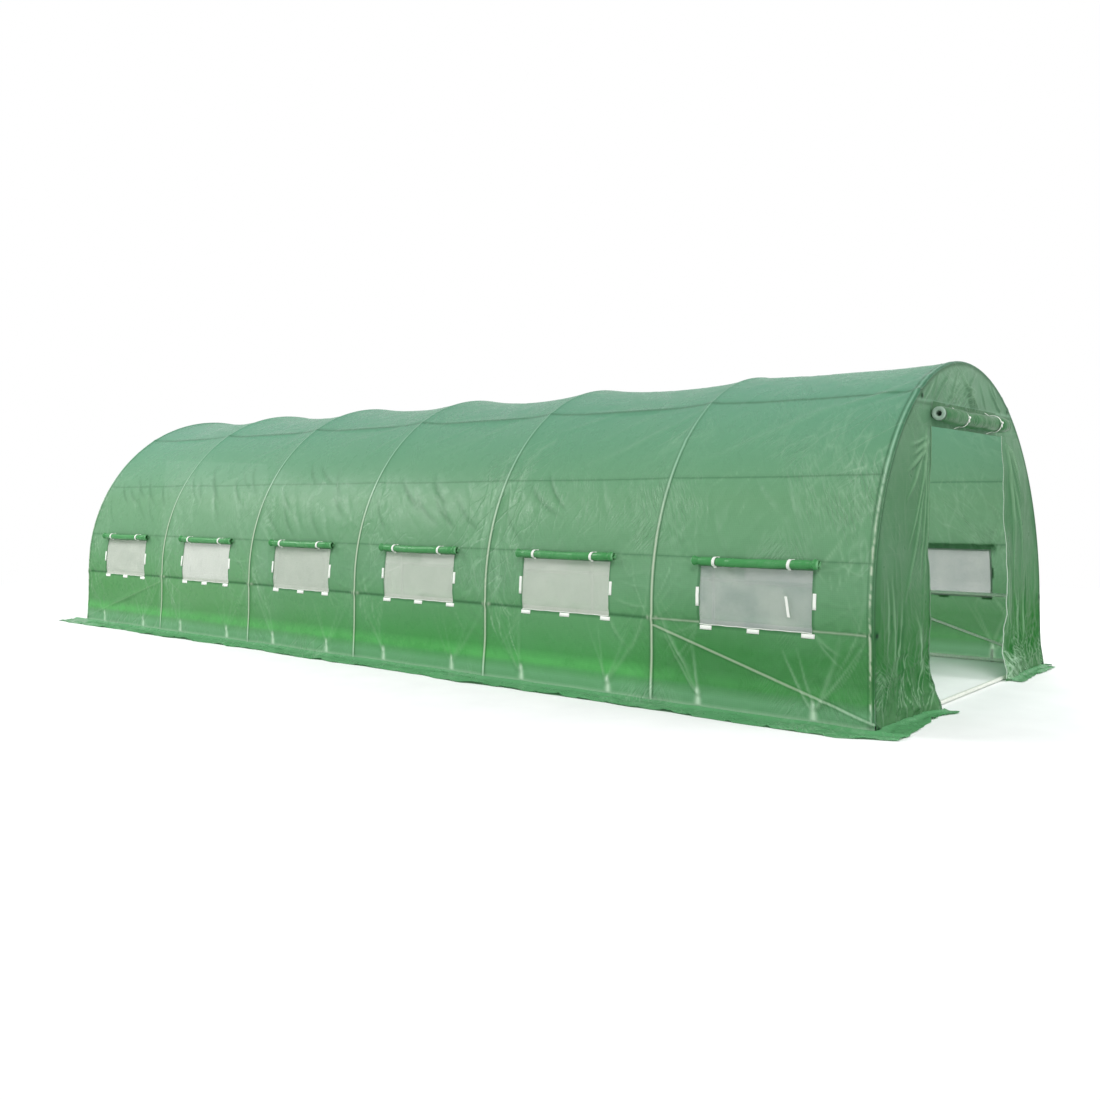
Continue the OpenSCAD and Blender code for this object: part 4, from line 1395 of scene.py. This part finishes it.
# Zips down both edges of each doorway: where they start, and the rows of tape and teeth
ZIP_FOOT, ZIP_ROWS, TEETH_ROWS = 0.02, 130, 560
zips = Heap()
teeth = Heap()
for end, _ in ENDS:
    for side, _ in SIDES:
        seed = SEEDS[side, end]
        z = np.linspace(ZIP_FOOT, DOOR_Z - DOOR_D / 2 - 0.006, ZIP_ROWS)
        edge = door_edge(z, seed + 40, side)
        x = side * (edge + 0.006)
        path = points(x, end * (SKIN_Y + panel_offset(x, z, end, seed) + 0.0022), z)
        zips.ribbon(path, (side, 0, 0), *ZIP_TAPE, np.array([[0, end, 0]]))
        # The teeth stand on the edge itself, and are finer up the doorway
        x = side * (edge - 0.001)
        y = end * (SKIN_Y + panel_offset(x, z, end, seed) + 0.0015)
        fine = np.linspace(ZIP_FOOT, z[-1], TEETH_ROWS)
        bead = 0.0032 + 0.0008 * np.sin(np.arange(TEETH_ROWS) * math.pi / 2)
        path = points(np.interp(fine, z, x), np.interp(fine, z, y), fine)
        (teeth if side > 0 else zips).tube(path, bead * (1 - 0.45 * ramp(fine, 0.6, 1.1)), 6)
for piece in (zips.object("door_zip_tapes", ZIP), teeth.object("door_zip_teeth", TEETH)):
    dress(piece, "door_zips")

# Straps that hold the foot of the cover to the base rails
straps = Heap()
tab_z = np.array([0.088, 0.06, 0.043])
bend_x, bend_z = RAIL_X + 0.0191, 0.034
foot_x, foot_z = (bend_x, SKIN_R - 0.0065), (0.0032, 0.0035)
turn = np.linspace(0.5 * math.pi, 1.5 * math.pi, 12)
ring = TUBE_R + 0.0018
for side, _ in SIDES:
    for y in [mid + strap for mid in MIDS for strap in STRAPS]:
        tab_s = tab_z if side < 0 else GIRTH - tab_z[::-1]
        skin = cover_offset(tab_s, np.array([y - 0.012, y, y + 0.012])).min(axis=1)
        tab_x = SKIN_R + (skin if side < 0 else skin[::-1]) - 0.003
        x = np.concatenate([tab_x, [bend_x], RAIL_X + ring * np.cos(turn), foot_x])
        z = np.concatenate([tab_z, [bend_z], RAIL_Z + ring * np.sin(turn), foot_z])
        path = points(side * x, y + 0.003 * np.sin(np.arange(len(x))), z)
        nx, nz = left_of(x, z)
        straps.ribbon(path, ALONG, *GROUND_STRAP, points(-side * nx, 0, -nz))
dress(straps.object("ground_strap_loops", WHITE), "ground_straps")


# Floor, light and camera

FLOOR_HALF = 60


def stage_floor():
    me = bpy.data.meshes.new("floor")
    corners = [(x * FLOOR_HALF, y * FLOOR_HALF, 0) for x, y in ((-1, -1), (1, -1), (1, 1), (-1, 1))]
    me.from_pydata(corners, [], [(0, 1, 2, 3)])
    ob = bpy.data.objects.new("floor", me)
    bpy.context.scene.collection.objects.link(ob)
    n = new_nodes("pale_floor")
    _, place = n.coords()
    away = n.add("ShaderNodeVectorMath", {0: place}, operation="LENGTH").outputs["Value"]
    far = n.times(n.range(away, 5.5, 9.5), n.seen())
    tint = n.mix(n.range(n.noise(place, 3.0, 2), 0.3, 0.7), (0.86, 0.86, 0.86, 1), (0.90, 0.90, 0.90, 1))
    pale = n.add("ShaderNodeBsdfDiffuse", {"Color": tint})
    white = n.add("ShaderNodeEmission", {"Color": (1, 1, 1, 1), "Strength": 1.0})
    me.materials.append(n.done(n.blend(far, pale, white)))


def studio_world():
    world = bpy.data.worlds.new("studio")
    bpy.context.scene.world = world
    n = Nodes(world)
    soft = n.add("ShaderNodeBackground", {0: (0.97, 0.99, 1.0, 1), 1: 0.55})
    white = n.add("ShaderNodeBackground", {0: (1, 1, 1, 1), 1: 1.0})
    n.add("ShaderNodeOutputWorld", {0: n.blend(n.seen(), soft, white)})


def lamp(name, kind, place, aim, strength, size, mirrored=True):
    data = bpy.data.lights.new(name, kind)
    data.energy = strength
    if kind == "SUN":
        data.angle = math.radians(size)
    else:
        data.shape = "DISK"
        data.size = size
    ob = bpy.data.objects.new(name, data)
    ob.location = place
    ob.rotation_euler = (Vector(aim) - Vector(place)).to_track_quat("-Z", "Y").to_euler()
    ob.visible_glossy = mirrored
    bpy.context.scene.collection.objects.link(ob)


stage_floor()
studio_world()
lamp("sky", "SUN", (-6.0, -4.0, 8.0), (0, 0, 0), 1.6, 30)
lamp("back_left", "AREA", (-7.0, 9.0, 8.0), (-1.0, -1.0, 0.8), 800, 5.0)
lamp("right", "AREA", (9.0, -1.0, 6.0), (1.0, -1.0, 0.8), 500, 5.0, False)
lamp("front", "AREA", (2.0, -11.0, 5.0), (0.0, -4.0, 0.8), 300, 4.0, False)

# The camera as fitted to the photograph, in pixels of its frame and radians
FRAME_PX, FOCAL_PX = 1100.0, 1075.71
CENTRE_PX = (521.65, 465.43)
YAW, PITCH = 0.86365, 0.03283
EYE = (-6.8570, -6.2358, 1.1885)
SENSOR_MM = 36.0
cam = bpy.data.cameras.new("camera")
eye = bpy.data.objects.new("camera", cam)
bpy.context.scene.collection.objects.link(eye)
look = Vector((math.sin(YAW) * math.cos(PITCH), math.cos(YAW) * math.cos(PITCH), math.sin(PITCH)))
eye.location = EYE
eye.rotation_euler = look.to_track_quat("-Z", "Y").to_euler()
cam.sensor_width = SENSOR_MM
cam.lens = FOCAL_PX / FRAME_PX * SENSOR_MM
cam.shift_x = (FRAME_PX / 2 - CENTRE_PX[0]) / FRAME_PX
cam.shift_y = (CENTRE_PX[1] - FRAME_PX / 2) / FRAME_PX
cam.clip_end = 300
bpy.context.scene.camera = eye
bpy.context.scene.view_settings.view_transform = "Standard"
